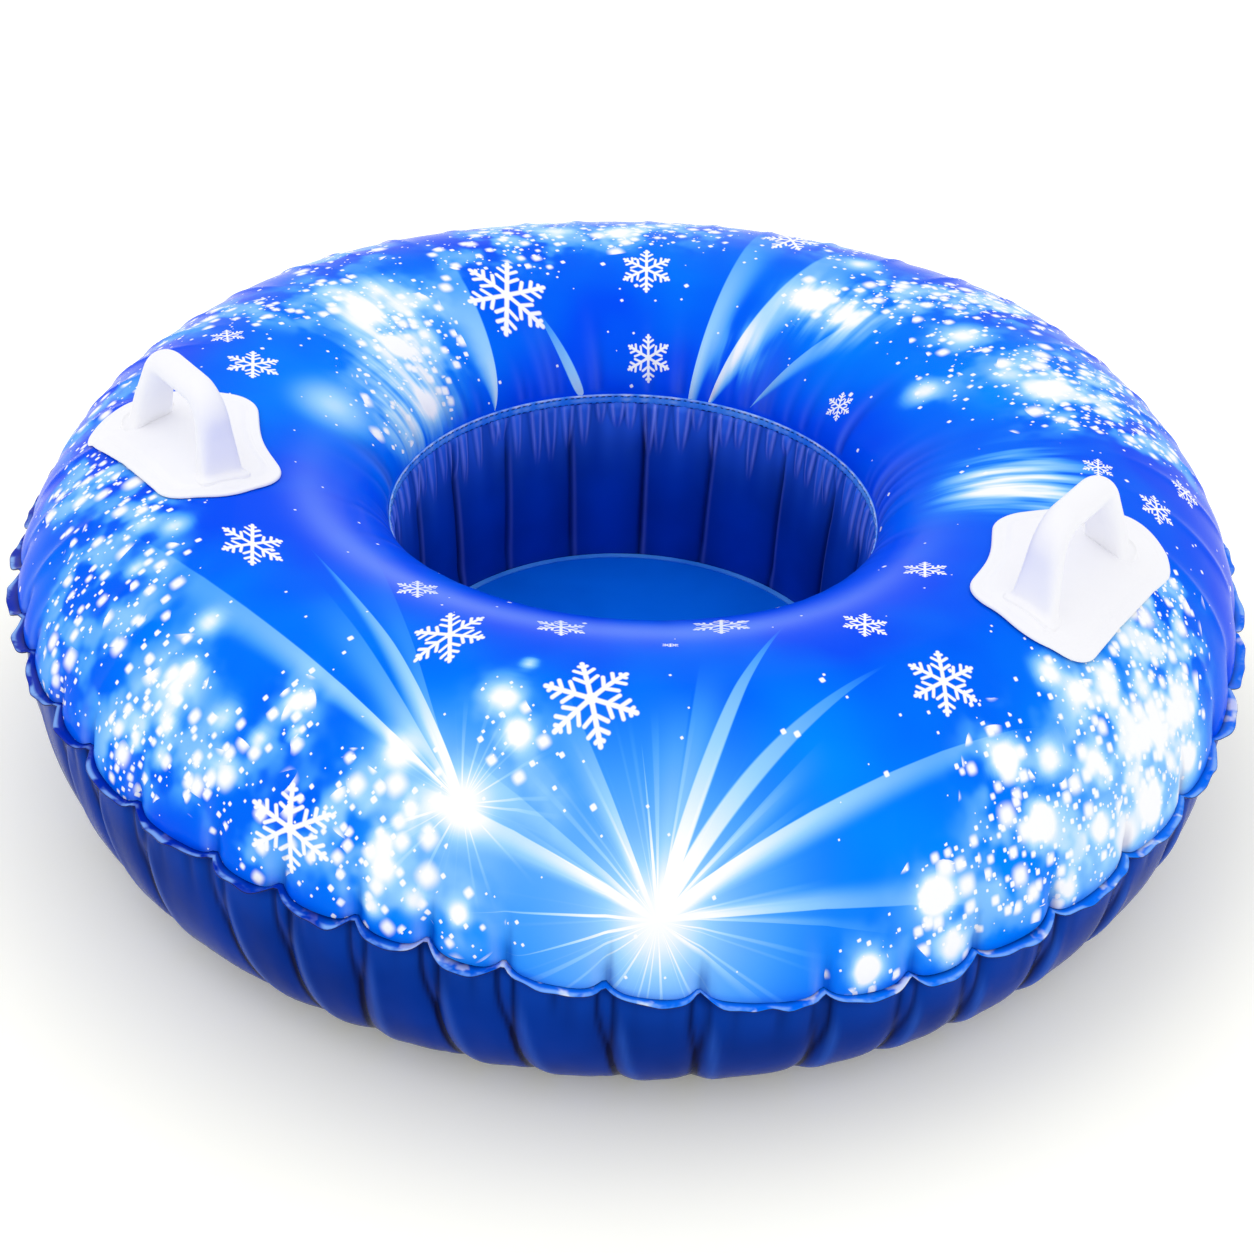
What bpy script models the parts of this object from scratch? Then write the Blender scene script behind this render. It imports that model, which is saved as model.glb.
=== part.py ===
"""Inflatable snow tube: pleated vinyl ring, closed seat well, two moulded handles and an air valve.

Metres, +Z up. The origin lies on the ground under the middle of the ring. -Y is the front, the
side that both handles are nearer to, and the valve is at the back, below the outer seam.
"""

import math

import bmesh
import bpy
from mathutils import Matrix, Vector

# Vinyl and the running gap between pieces that meet
VINYL = 0.0008
GAP = 0.0003
OVERRUN = 0.02
MERGE_DISTANCE = 0.00001

# Outer seam: a flat welded flange, pinched in at every pleat and broader on the lobes between
PLEATS = 48
STEPS_PER_PLEAT = 3
LOBE_STEEPNESS = 1.8
SEAM_RADIUS = 0.538
SEAM_HEIGHT = 0.199
SEAM_LEAN = 0.052
SEAM_HIGH_SIDE = math.radians(114)
SEAM_BOW = 0.016
SEAM_BOW_SIDE = math.radians(55)
PINCH_DEPTH = 0.008
PINCH_RISE = 0.004
FLANGE_WIDTH = 0.006
FLANGE_LOBE = 0.007
FLANGE_TUCK = 0.003
FLANGE_THICKNESS = 2 * VINYL

# Seat well: rim weld, folded wall and floor
RIM_RADIUS = 0.222
RIM_HEIGHT = 0.227
RIM_STRIP_WIDTH = 0.010
RIM_STRIP_THICKNESS = 2 * VINYL
WELL_TAPER = 0.010
FLOOR_RADIUS = RIM_RADIUS - WELL_TAPER
FLOOR_HEIGHT = 0.050
FLOOR_MARGIN = 0.006
FLOOR_WELD_PRESS = 0.0003
FLOOR_BEAD_WIDTH = 0.006
FLOOR_BEAD_THICKNESS = 0.001
FOLDS = 22
STEPS_PER_FOLD = 4
FOLD_DEPTH = 0.005
WALL_BULGE = 0.004
WALL_ROWS = 3

# Section of the inflated ring. The crown lies a little outside the middle, and the sole touches
# the ground between its two edges.
CROWN_OFFSET = 0.015
CROWN_RADIUS = (SEAM_RADIUS + RIM_RADIUS) / 2 + CROWN_OFFSET
CROWN_HEIGHT = 0.320
SOLE_OUTER_INSET = 0.098
SOLE_OUTER_RADIUS = SEAM_RADIUS - SOLE_OUTER_INSET
SOLE_INNER_RUN = 0.118
SOLE_INNER_RADIUS = FLOOR_RADIUS + SOLE_INNER_RUN
OUTER_UPPER_FULLNESS = 1.65
INNER_UPPER_FULLNESS = 1.9
OUTER_LOWER_FULLNESS = 2.3
INNER_LOWER_FULLNESS = 2.0
UPPER_OUTER_ROWS = 5
UPPER_INNER_ROWS = 3
LOWER_OUTER_ROWS = 4
LOWER_INNER_ROWS = 1
WELD_RUN = 0.005
DIMPLE_SHARE = 0.55
SOLE_CREASE_SHARE = 0.25

# Handles. Each place is the angle round the ring, the distance from its axis, the side that the
# plate's point is turned to (1 is anticlockwise), and how far the loop turns in from the tangent.
RIGHT_HANDLE_OFFSET = 0.020
HANDLE_PLACES = {
    "left_handle": (math.radians(201.3), CROWN_RADIUS, -1, math.radians(28)),
    "right_handle": (math.radians(-20.2), CROWN_RADIUS + RIGHT_HANDLE_OFFSET, 1, math.radians(4)),
}
PLATE_FRONT = 0.112
PLATE_POINT = 0.134
PLATE_END_SHIFT = 0.009
PLATE_SHOULDER = 0.086
PLATE_INNER_HALF = 0.052
PLATE_OUTER_HALF = 0.056
PLATE_PEAK = 0.045
PLATE_PEAK_HALF = 0.094
PLATE_BACK = 0.108
PLATE_BACK_HALF = 0.046
PLATE_CORNER = 0.022
CORNER_STEPS = 4
PLATE_THICKNESS = 0.0022
PAD_INSET = 0.013
PAD_HEIGHT = 0.0016
LOOP_HEIGHT = 0.070
LOOP_FOOT = 0.0655
LOOP_FRONT_SHOULDER = 0.055
LOOP_BACK_SHOULDER = 0.028
LOOP_BEND = 0.026
BEND_STEPS = 4
GRIP_THICKNESS = 0.025
GRIP_WIDTH = 0.027
LEG_THICKNESS = 0.019
FOOT_WIDTH = 0.039
LEG_FLARE = 1.5
LEG_THINNING_SHARE = 0.5
GRIP_SQUARENESS = 2.0
FOOT_SQUARENESS = 5.0
SECTION_POINTS = 16

# Valve: flange and neck on the lower panel, stopper, cap and non-return flap
VALVE_ANGLE = math.radians(90) + math.pi / PLEATS
VALVE_HEIGHT = 0.080
VALVE_FLANGE_RADIUS = 0.024
VALVE_FLANGE_THICKNESS = 0.0016
NECK_RADIUS = 0.013
BORE_RADIUS = 0.010
NECK_RISE = 0.005
NECK_DEPTH = 0.012
NECK_CLEARANCE = 0.0006
STOPPER_RADIUS = 0.0155
STOPPER_THICKNESS = 0.002
STOPPER_SKIRT = 0.0038
STOPPER_CLEARANCE = 0.0005
INLET_RADIUS = 0.0065
STOPPER_HINGE = 0.0205
STRAP_WIDTH = 0.007
STRAP_THICKNESS = 0.0014
KNUCKLE_RADIUS = 0.0012
CAP_RADIUS = 0.0105
CAP_THICKNESS = 0.0018
CAP_PLUG = 0.0030
CAP_CLEARANCE = 0.0006
CAP_HINGE = 0.0133
CAP_LIP = 0.003
FLAP_CLEARANCE = 0.001
FLAP_THICKNESS = 0.0008
ROUND_STEPS = 32

SHARP_ANGLE = math.radians(40)
VINYL_BLUE = (0.006, 0.130, 0.850, 1)
VINYL_NAVY = (0.004, 0.030, 0.270, 1)
WALL_NAVY = (0.004, 0.030, 0.230, 1)
FLOOR_BLUE = (0.006, 0.090, 0.560, 1)
SEAM_BLUE = (0.020, 0.180, 0.800, 1)
HANDLE_WHITE = (0.900, 0.900, 0.910, 1)
VALVE_WHITE = (0.800, 0.820, 0.840, 1)
PRINT_ROUGHNESS = 0.25
VINYL_ROUGHNESS = 0.3
FLOOR_ROUGHNESS = 0.35
VALVE_ROUGHNESS = 0.45
HANDLE_ROUGHNESS = 0.5


def clear_scene():
    for item in list(bpy.data.objects):
        bpy.data.objects.remove(item, do_unlink=True)


def new_collection(name):
    group = bpy.data.collections.new(name)
    bpy.context.scene.collection.children.link(group)
    return group


def material(name, colour, roughness):
    """A plain vinyl or moulded plastic finish."""
    finish = bpy.data.materials.new(name)
    finish.use_nodes = True
    shader = finish.node_tree.nodes["Principled BSDF"]
    shader.inputs["Base Color"].default_value = colour
    shader.inputs["Roughness"].default_value = roughness
    shader.inputs["Metallic"].default_value = 0
    finish.diffuse_color = colour
    return finish


def new_object(name, mesh, group, finish=None):
    item = bpy.data.objects.new(name, mesh)
    group.objects.link(item)
    if finish:
        mesh.materials.append(finish)
    mesh.shade_smooth()
    mesh.set_sharp_from_angle(angle=SHARP_ANGLE)
    return item


def new_cutter(name, mesh, group):
    item = new_object(name, mesh, group)
    item.hide_render = True
    item.display_type = "WIRE"
    return item


def boolean(item, cutter, operation):
    step = item.modifiers.new(operation.title() + " " + cutter.name, "BOOLEAN")
    step.operation = operation
    step.solver = "EXACT"
    step.object = cutter


def solidify(item):
    """Gives a skin its vinyl thickness, behind the face that shows."""
    step = item.modifiers.new("Vinyl", "SOLIDIFY")
    step.thickness = VINYL
    step.offset = -1
    step.use_even_offset = True


def loft_ring(name, section, steps, closed):
    """Joins the sections at even steps round the Z axis. A closed section makes a solid ring.

    Every ring's faces are split along the same diagonal, so that rings a gap apart lie parallel.
    """
    shape = bmesh.new()
    rings = []
    for step in range(steps):
        angle = 2 * math.pi * step / steps
        turn = Matrix.Rotation(angle, 3, "Z")
        ring = []
        for radius, height in section(angle):
            ring.append(shape.verts.new(turn @ Vector((radius, 0, height))))
        rings.append(ring)
    count = len(rings[0])
    for step in range(steps):
        here = rings[step]
        beyond = rings[(step + 1) % steps]
        for row in range(count if closed else count - 1):
            above = (row + 1) % count
            shape.faces.new((here[row], beyond[row], beyond[above], here[above]))
    bmesh.ops.triangulate(shape, faces=shape.faces, quad_method="FIXED")
    mesh = bpy.data.meshes.new(name)
    shape.to_mesh(mesh)
    shape.free()
    return mesh


def turned(name, outline, closed):
    """Turns a profile round Z with a Screw modifier, and keeps the result as a mesh."""
    mesh = bpy.data.meshes.new(name)
    count = len(outline)
    edges = [(point, (point + 1) % count) for point in range(count if closed else count - 1)]
    mesh.from_pydata([(radius, 0, height) for radius, height in outline], edges, [])
    item = bpy.data.objects.new(name, mesh)
    bpy.context.scene.collection.objects.link(item)
    screw = item.modifiers.new("Turn", "SCREW")
    screw.axis = "Z"
    screw.steps = ROUND_STEPS
    screw.render_steps = ROUND_STEPS
    screw.use_merge_vertices = True
    screw.merge_threshold = MERGE_DISTANCE
    bpy.context.view_layer.update()
    graph = bpy.context.evaluated_depsgraph_get()
    result = bpy.data.meshes.new_from_object(item.evaluated_get(graph))
    bpy.data.objects.remove(item, do_unlink=True)
    bpy.data.meshes.remove(mesh)
    return result


def cylinder(name, radius, low, high, steps=ROUND_STEPS):
    """An upright cylinder between two heights."""
    shape = bmesh.new()
    place = Matrix.Translation((0, 0, (low + high) / 2))
    bmesh.ops.create_cone(shape, cap_ends=True, segments=steps, radius1=radius, radius2=radius,
                          depth=high - low, matrix=place)
    mesh = bpy.data.meshes.new(name)
    shape.to_mesh(mesh)
    shape.free()
    return mesh


def block(name, low, high):
    """A box between two corners."""
    shape = bmesh.new()
    middle = [(a + b) / 2 for a, b in zip(low, high)]
    sides = [b - a for a, b in zip(low, high)]
    place = Matrix.Translation(middle) @ Matrix.Diagonal((*sides, 1))
    bmesh.ops.create_cube(shape, size=1, matrix=place)
    mesh = bpy.data.meshes.new(name)
    shape.to_mesh(mesh)
    shape.free()
    return mesh


def lobe(angle):
    """0 at a pinch of the outer seam, rising to 1 across the lobe between two pinches."""
    return min(1, LOBE_STEEPNESS * abs(math.sin(PLEATS * angle / 2)))


def seam_radius(angle):
    return SEAM_RADIUS + PINCH_DEPTH * lobe(angle)


def seam_height(angle):
    """The seam leans up to the back, bows a little and is drawn up at each pinch."""
    lean = SEAM_LEAN * math.cos(angle - SEAM_HIGH_SIDE)
    bow = SEAM_BOW * math.cos(2 * (angle - SEAM_BOW_SIDE))
    return SEAM_HEIGHT + lean + bow + PINCH_RISE * (1 - lobe(angle))


def quarter(upright, level, fullness, rows):
    """A quarter of a superellipse, from where it stands upright to where it lies level."""
    points = []
    for row in range(rows + 1):
        turn = math.pi / 2 * row / rows
        across = max(0, math.cos(turn)) ** (2 / fullness)
        along = math.sin(turn) ** (2 / fullness)
        radius = level[0] + (upright[0] - level[0]) * across
        height = upright[1] + (level[1] - upright[1]) * along
        points.append((radius, height))
    return points


def upper_section(angle):
    """Outer face of the top panel, from the outer seam over the crown to the rim of the well."""
    crown = (CROWN_RADIUS, CROWN_HEIGHT)
    seam = seam_height(angle) + FLANGE_THICKNESS / 2 + GAP
    edge = (SEAM_RADIUS + PINCH_DEPTH, seam + WELD_RUN)
    outer = quarter(edge, crown, OUTER_UPPER_FULLNESS, UPPER_OUTER_ROWS)
    points = [(seam_radius(angle), seam)]
    for row, (radius, height) in enumerate(outer):
        fade = max(0, 1 - row / UPPER_OUTER_ROWS / DIMPLE_SHARE) ** 2
        points.append((radius - PINCH_DEPTH * (1 - lobe(angle)) * fade, height))
    weld = RIM_HEIGHT + GAP / 2
    rim = (RIM_RADIUS, weld + WELD_RUN)
    inner = quarter(rim, crown, INNER_UPPER_FULLNESS, UPPER_INNER_ROWS)
    return points + inner[-2::-1] + [(RIM_RADIUS, weld)]


def lower_section(angle):
    """Outer face of the bottom panel, from the floor of the well down to the sole and up to the seam."""
    weld = FLOOR_HEIGHT - VINYL - GAP
    floor_edge = (FLOOR_RADIUS, weld - WELD_RUN)
    inner = quarter(floor_edge, (SOLE_INNER_RADIUS, 0), INNER_LOWER_FULLNESS, LOWER_INNER_ROWS)
    edge = (SEAM_RADIUS + PINCH_DEPTH, seam_height(angle) - FLANGE_THICKNESS / 2 - GAP)
    outer = quarter(edge, (SOLE_OUTER_RADIUS, 0), OUTER_LOWER_FULLNESS, LOWER_OUTER_ROWS)
    points = []
    for row, (radius, height) in enumerate(outer):
        fade = 1 - (1 - SOLE_CREASE_SHARE) * row / LOWER_OUTER_ROWS
        points.append((radius - PINCH_DEPTH * (1 - lobe(angle)) * fade, height))
    return [(FLOOR_RADIUS, weld)] + inner + points[::-1]


def wall_section(angle):
    """Face of the well's wall, from behind the rim strip down to the floor, with its upright folds."""
    weld = RIM_HEIGHT - GAP / 2
    top = weld - WELD_RUN
    bottom = FLOOR_HEIGHT + GAP
    points = [(RIM_RADIUS, weld)]
    for row in range(WALL_ROWS + 1):
        share = row / WALL_ROWS
        middle = math.sin(math.pi * share)
        fold = FOLD_DEPTH * (1 + math.cos(FOLDS * angle)) / 2
        radius = RIM_RADIUS + (FLOOR_RADIUS - RIM_RADIUS) * share - WALL_BULGE * middle + fold * middle
        points.append((radius, top + (bottom - top) * share))
    return points


def flange_section(angle):
    """The outer seam's flange, whose inner edge is tucked in between the two panels."""
    inner = seam_radius(angle) - VINYL - FLANGE_TUCK
    outer = seam_radius(angle) + FLANGE_WIDTH + FLANGE_LOBE * lobe(angle)
    low = seam_height(angle) - FLANGE_THICKNESS / 2
    high = seam_height(angle) + FLANGE_THICKNESS / 2
    return [(inner, low), (outer, low), (outer, high), (inner, high)]


def moved_out(points, distance):
    """Moves a section outwards, square to itself. Its outside lies to the right of its run."""
    result = []
    for place in range(len(points)):
        before = points[max(0, place - 1)]
        after = points[min(len(points) - 1, place + 1)]
        run = math.hypot(after[0] - before[0], after[1] - before[1])
        radius = points[place][0] + distance * (after[1] - before[1]) / run
        height = points[place][1] - distance * (after[0] - before[0]) / run
        result.append((radius, height))
    return result


def envelope(name, section, distance, group):
    """A closed ring that stands a distance outside one of the panels, for cutting what lies on it."""
    steps = PLEATS * STEPS_PER_PLEAT
    mesh = loft_ring(name, lambda angle: moved_out(section(angle), distance), steps, True)
    return new_cutter(name, mesh, group)


def rounded(corners, radius):
    """A closed outline with each corner turned by an arc of the given radius."""
    outline = []
    for place, corner in enumerate(corners):
        corner = Vector(corner)
        back = (Vector(corners[place - 1]) - corner).normalized()
        ahead = (Vector(corners[(place + 1) % len(corners)]) - corner).normalized()
        half = math.acos(max(-1, min(1, back.dot(ahead)))) / 2
        reach = radius / math.sin(half)
        centre = corner + (back + ahead).normalized() * reach
        start = corner + back * radius / math.tan(half) - centre
        sweep = math.pi - 2 * half
        for step in range(CORNER_STEPS + 1):
            turn = Matrix.Rotation(sweep * step / CORNER_STEPS, 2)
            outline.append(centre + turn @ start)
    return outline


def plate_outline(inset, side):
    """Six-sided handle base, peaked towards the well and pointed at the back, anticlockwise."""
    shoulder = -PLATE_SHOULDER + inset
    corners = [
        (-PLATE_FRONT + inset, -PLATE_END_SHIFT),
        (shoulder, -PLATE_OUTER_HALF + inset),
        (PLATE_BACK - inset, -PLATE_BACK_HALF + inset),
        (PLATE_POINT - inset, -PLATE_END_SHIFT),
        (PLATE_PEAK, PLATE_PEAK_HALF - inset),
        (shoulder, PLATE_INNER_HALF - inset),
    ]
    if side < 0:
        corners = [(x, -y) for x, y in reversed(corners)]
    return rounded(corners, PLATE_CORNER - inset / 2)


def prism(name, outline, low, high):
    """Raises a flat outline between two heights, as a filled 2D curve made into a mesh."""
    curve = bpy.data.curves.new(name, "CURVE")
    curve.dimensions = "2D"
    curve.fill_mode = "BOTH"
    curve.extrude = (high - low) / 2
    spline = curve.splines.new("POLY")
    spline.points.add(len(outline) - 1)
    for point, (x, y) in zip(spline.points, outline):
        point.co = (x, y, 0, 1)
    spline.use_cyclic_u = True
    item = bpy.data.objects.new(name, curve)
    bpy.context.scene.collection.objects.link(item)
    bpy.context.view_layer.update()
    graph = bpy.context.evaluated_depsgraph_get()
    mesh = bpy.data.meshes.new_from_object(item.evaluated_get(graph))
    bpy.data.objects.remove(item, do_unlink=True)
    bpy.data.curves.remove(curve)
    shape = bmesh.new()
    shape.from_mesh(mesh)
    bmesh.ops.remove_doubles(shape, verts=shape.verts, dist=MERGE_DISTANCE)
    bmesh.ops.translate(shape, verts=shape.verts, vec=(0, 0, (low + high) / 2))
    shape.to_mesh(mesh)
    shape.free()
    return mesh


def leg_path(shoulder):
    """Middle line of one leg and its bend, from below the foot up to the grip, with its headings."""
    foot = Vector((LOOP_FOOT, 0))
    leg = Vector((shoulder, LOOP_HEIGHT)) - foot
    lean = math.atan2(-leg.x, leg.y)
    turn = math.pi / 2 - lean
    back_off = LOOP_BEND * math.tan(turn / 2)
    arc_centre = Vector((shoulder - back_off, LOOP_HEIGHT - LOOP_BEND))
    bend_start = foot + leg - leg.normalized() * back_off
    path = [(foot - leg * (OVERRUN / LOOP_HEIGHT), lean), ((bend_start + foot) / 2, lean)]
    for step in range(BEND_STEPS + 1):
        angle = lean + turn * step / BEND_STEPS
        outward = Vector((math.cos(angle), math.sin(angle)))
        path.append((arc_centre + outward * LOOP_BEND, angle))
    return path


def loop_path():
    """Middle line of the hand loop: up the slanting back leg, along the grip and down the front leg."""
    front = leg_path(LOOP_FRONT_SHOULDER)
    mirrored = [(Vector((-place.x, place.y)), math.pi - angle) for place, angle in reversed(front)]
    return leg_path(LOOP_BACK_SHOULDER) + mirrored


def loop_mesh(name):
    """Hand loop, lofted from a round grip to broad, squarish feet."""
    shape = bmesh.new()
    rings = []
    for place, angle in loop_path():
        down = max(0, min(1, 1 - place.y / LOOP_HEIGHT))
        spread = down ** LEG_FLARE
        width = GRIP_WIDTH + (FOOT_WIDTH - GRIP_WIDTH) * spread
        thinned = min(1, down / LEG_THINNING_SHARE)
        thickness = GRIP_THICKNESS + (LEG_THICKNESS - GRIP_THICKNESS) * thinned
        power = 2 / (GRIP_SQUARENESS + (FOOT_SQUARENESS - GRIP_SQUARENESS) * spread)
        outward = Vector((math.cos(angle), 0, math.sin(angle)))
        middle = Vector((place.x, 0, place.y))
        ring = []
        for step in range(SECTION_POINTS):
            turn = 2 * math.pi * step / SECTION_POINTS
            across = math.copysign(abs(math.sin(turn)) ** power, math.sin(turn)) * width / 2
            out = math.copysign(abs(math.cos(turn)) ** power, math.cos(turn)) * thickness / 2
            ring.append(shape.verts.new(middle + outward * out + Vector((0, across, 0))))
        rings.append(ring)
    for here, beyond in zip(rings, rings[1:]):
        for step in range(SECTION_POINTS):
            after = (step + 1) % SECTION_POINTS
            shape.faces.new((here[step], here[after], beyond[after], beyond[step]))
    shape.faces.new(rings[0][::-1])
    shape.faces.new(rings[-1])
    bmesh.ops.recalc_face_normals(shape, faces=shape.faces)
    mesh = bpy.data.meshes.new(name)
    shape.to_mesh(mesh)
    shape.free()
    return mesh


def crown_height(radius):
    """Height of the top panel's face at a distance from the ring's axis."""
    points = upper_section(0)
    for outer, inner in zip(points, points[1:]):
        if inner[0] <= radius <= outer[0]:
            share = (outer[0] - radius) / (outer[0] - inner[0])
            return outer[1] + (inner[1] - outer[1]) * share
    return CROWN_HEIGHT


def add_handle(name, parts, cutters, finish, envelopes):
    """One moulding: base plate bent over the crown, raised pad, and hand loop."""
    angle, radius, side, turn = HANDLE_PLACES[name]
    stand = (radius * math.cos(angle), radius * math.sin(angle), crown_height(radius))
    facing = angle + side * (math.pi / 2 - turn)
    place = Matrix.Translation(stand) @ Matrix.Rotation(facing, 4, "Z")
    handle = new_object(name, prism(name, plate_outline(0, side), -OVERRUN, OVERRUN), parts, finish)
    pad_mesh = prism(name + "_pad", plate_outline(PAD_INSET, side), -OVERRUN, OVERRUN)
    pad = new_cutter(name + "_pad", pad_mesh, cutters)
    loop = new_cutter(name + "_loop", loop_mesh(name + "_loop"), cutters)
    for item in (handle, pad, loop):
        item.matrix_world = place
    boolean(pad, envelopes["pad"], "INTERSECT")
    boolean(handle, envelopes["plate"], "INTERSECT")
    boolean(handle, pad, "UNION")
    boolean(handle, loop, "UNION")
    boolean(handle, envelopes["upper"], "DIFFERENCE")


def valve_place():
    """Frame of the valve: Z out of the bottom panel, X down along it, origin on its face."""
    points = lower_section(VALVE_ANGLE)
    for low, high in zip(points, points[1:]):
        if low[0] > SOLE_INNER_RADIUS and low[1] <= VALVE_HEIGHT <= high[1]:
            break
    share = (VALVE_HEIGHT - low[1]) / (high[1] - low[1])
    radius = low[0] + (high[0] - low[0]) * share
    outwards = Vector((math.cos(VALVE_ANGLE), math.sin(VALVE_ANGLE), 0))
    up = (outwards * (high[0] - low[0]) + Vector((0, 0, high[1] - low[1]))).normalized()
    along = -up
    across = Vector((-math.sin(VALVE_ANGLE), math.cos(VALVE_ANGLE), 0)).normalized()
    normal = along.cross(across)
    if normal.dot(outwards) < 0:
        across = -across
        normal = -normal
    frame = Matrix((along, across, normal)).transposed().to_4x4()
    frame.translation = outwards * radius + Vector((0, 0, VALVE_HEIGHT))
    return frame


def strap_parts(name, hinge, reach, level, cutters):
    """A strap from a disc's edge to its hinge line, ending in a round knuckle. The hinge is at -X."""
    low = (-hinge, -STRAP_WIDTH / 2, level - STRAP_THICKNESS / 2)
    high = (-reach, STRAP_WIDTH / 2, level + STRAP_THICKNESS / 2)
    strap = new_cutter(name + "_strap", block(name + "_strap", low, high), cutters)
    pin = cylinder(name + "_knuckle", KNUCKLE_RADIUS, -STRAP_WIDTH / 2, STRAP_WIDTH / 2)
    knuckle = new_cutter(name + "_knuckle", pin, cutters)
    lying = Matrix.Rotation(math.pi / 2, 4, "X")
    return strap, knuckle, Matrix.Translation((-hinge, 0, level)) @ lying


def add_disc(name, outline, closed, hinge, reach, level, frame, groups, finish):
    """A turned disc with its strap and knuckle, whose origin lies on its hinge line."""
    parts, cutters = groups
    disc = new_object(name, turned(name, outline, closed), parts, finish)
    strap, knuckle, lying = strap_parts(name, hinge, reach, level, cutters)
    disc.data.transform(Matrix.Translation((hinge, 0, -level)))
    disc.matrix_world = frame @ Matrix.Translation((-hinge, 0, level))
    strap.matrix_world = frame
    knuckle.matrix_world = frame @ lying
    boolean(disc, strap, "UNION")
    boolean(disc, knuckle, "UNION")
    return disc


def add_valve(groups, finish, lower_skin):
    """Valve base through the bottom panel, with stopper, cap and flap seated in turn on it."""
    parts, cutters = groups
    frame = valve_place()
    outside = envelope("valve_flange_face", lower_section, GAP + VALVE_FLANGE_THICKNESS, cutters)
    inside = envelope("valve_flange_seat", lower_section, GAP, cutters)

    head_low = NECK_RISE + GAP
    head_high = head_low + STOPPER_THICKNESS
    hinge_level = head_low + STRAP_THICKNESS / 2
    lug_top = hinge_level - KNUCKLE_RADIUS - GAP

    flange = cylinder("valve_base", VALVE_FLANGE_RADIUS, -OVERRUN, OVERRUN)
    base = new_object("valve_base", flange, parts, finish)
    half_lug = STRAP_WIDTH / 2
    lug_low = (-STOPPER_HINGE - KNUCKLE_RADIUS, -half_lug, -OVERRUN)
    lug_high = (-STOPPER_HINGE + KNUCKLE_RADIUS, half_lug, lug_top)
    lug = new_cutter("valve_lug", block("valve_lug", lug_low, lug_high), cutters)
    neck = new_cutter("valve_neck", cylinder("valve_neck", NECK_RADIUS, -NECK_DEPTH, NECK_RISE), cutters)
    bore = new_cutter("valve_bore", cylinder("valve_bore", BORE_RADIUS, -OVERRUN, OVERRUN), cutters)
    clear = NECK_RADIUS + NECK_CLEARANCE
    hole = new_cutter("valve_hole", cylinder("valve_hole", clear, -OVERRUN, OVERRUN), cutters)
    for item in (base, lug, neck, bore, hole):
        item.matrix_world = frame
    boolean(base, outside, "INTERSECT")
    boolean(base, lug, "UNION")
    boolean(base, inside, "DIFFERENCE")
    boolean(base, neck, "UNION")
    boolean(base, bore, "DIFFERENCE")
    boolean(lower_skin, hole, "DIFFERENCE")

    skirt = BORE_RADIUS - STOPPER_CLEARANCE
    skirt_low = head_low - STOPPER_SKIRT
    stopper_outline = [
        (INLET_RADIUS, head_high),
        (STOPPER_RADIUS, head_high),
        (STOPPER_RADIUS, head_low),
        (skirt, head_low),
        (skirt, skirt_low),
        (INLET_RADIUS, skirt_low),
    ]
    reach = (skirt + STOPPER_RADIUS) / 2
    add_disc("valve_stopper", stopper_outline, True, STOPPER_HINGE, reach, hinge_level,
             frame, groups, finish)

    cap_low = head_high + GAP
    cap_high = cap_low + CAP_THICKNESS
    plug = INLET_RADIUS - CAP_CLEARANCE
    cap_outline = [
        (0, cap_high),
        (CAP_RADIUS, cap_high),
        (CAP_RADIUS, cap_low),
        (plug, cap_low),
        (plug, cap_low - CAP_PLUG),
        (0, cap_low - CAP_PLUG),
    ]
    reach = (plug + CAP_RADIUS) / 2
    cap_level = cap_low + KNUCKLE_RADIUS
    cap = add_disc("valve_cap", cap_outline, False, CAP_HINGE, reach, cap_level, frame, groups, finish)
    lip_low = (plug, -half_lug, cap_low)
    lip_high = (CAP_RADIUS + CAP_LIP, half_lug, cap_low + STRAP_THICKNESS)
    lip = new_cutter("valve_lip", block("valve_lip", lip_low, lip_high), cutters)
    lip.matrix_world = frame
    boolean(cap, lip, "UNION")

    flap_radius = BORE_RADIUS - FLAP_CLEARANCE
    flap_high = skirt_low - GAP
    flap_mesh = cylinder("valve_flap", flap_radius, -FLAP_THICKNESS / 2, FLAP_THICKNESS / 2)
    flap = new_object("valve_flap", flap_mesh, parts, finish)
    flap.data.transform(Matrix.Translation((flap_radius, 0, 0)))
    flap.matrix_world = frame @ Matrix.Translation((-flap_radius, 0, flap_high - FLAP_THICKNESS / 2))


def add_ring(name, inner, outer, low, high, steps, group, finish):
    """A plain flat ring of rectangular section."""
    outline = [(inner, low), (outer, low), (outer, high), (inner, high)]
    return new_object(name, loft_ring(name, lambda angle: outline, steps, True), group, finish)


def add_floor(name, radius, steps, groups, finish):
    """Floor of the well, whose margin is pressed a little thinner by the weld from a radius on."""
    parts, cutters = groups
    low = FLOOR_HEIGHT - VINYL
    margin = cylinder(name, FLOOR_RADIUS + FLOOR_MARGIN, low, FLOOR_HEIGHT - FLOOR_WELD_PRESS, steps)
    middle = cylinder(name + "_middle", radius, low + VINYL / 2, FLOOR_HEIGHT, steps)
    floor = new_object(name, margin, parts, finish)
    boolean(floor, new_cutter(name + "_middle", middle, cutters), "UNION")


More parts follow.
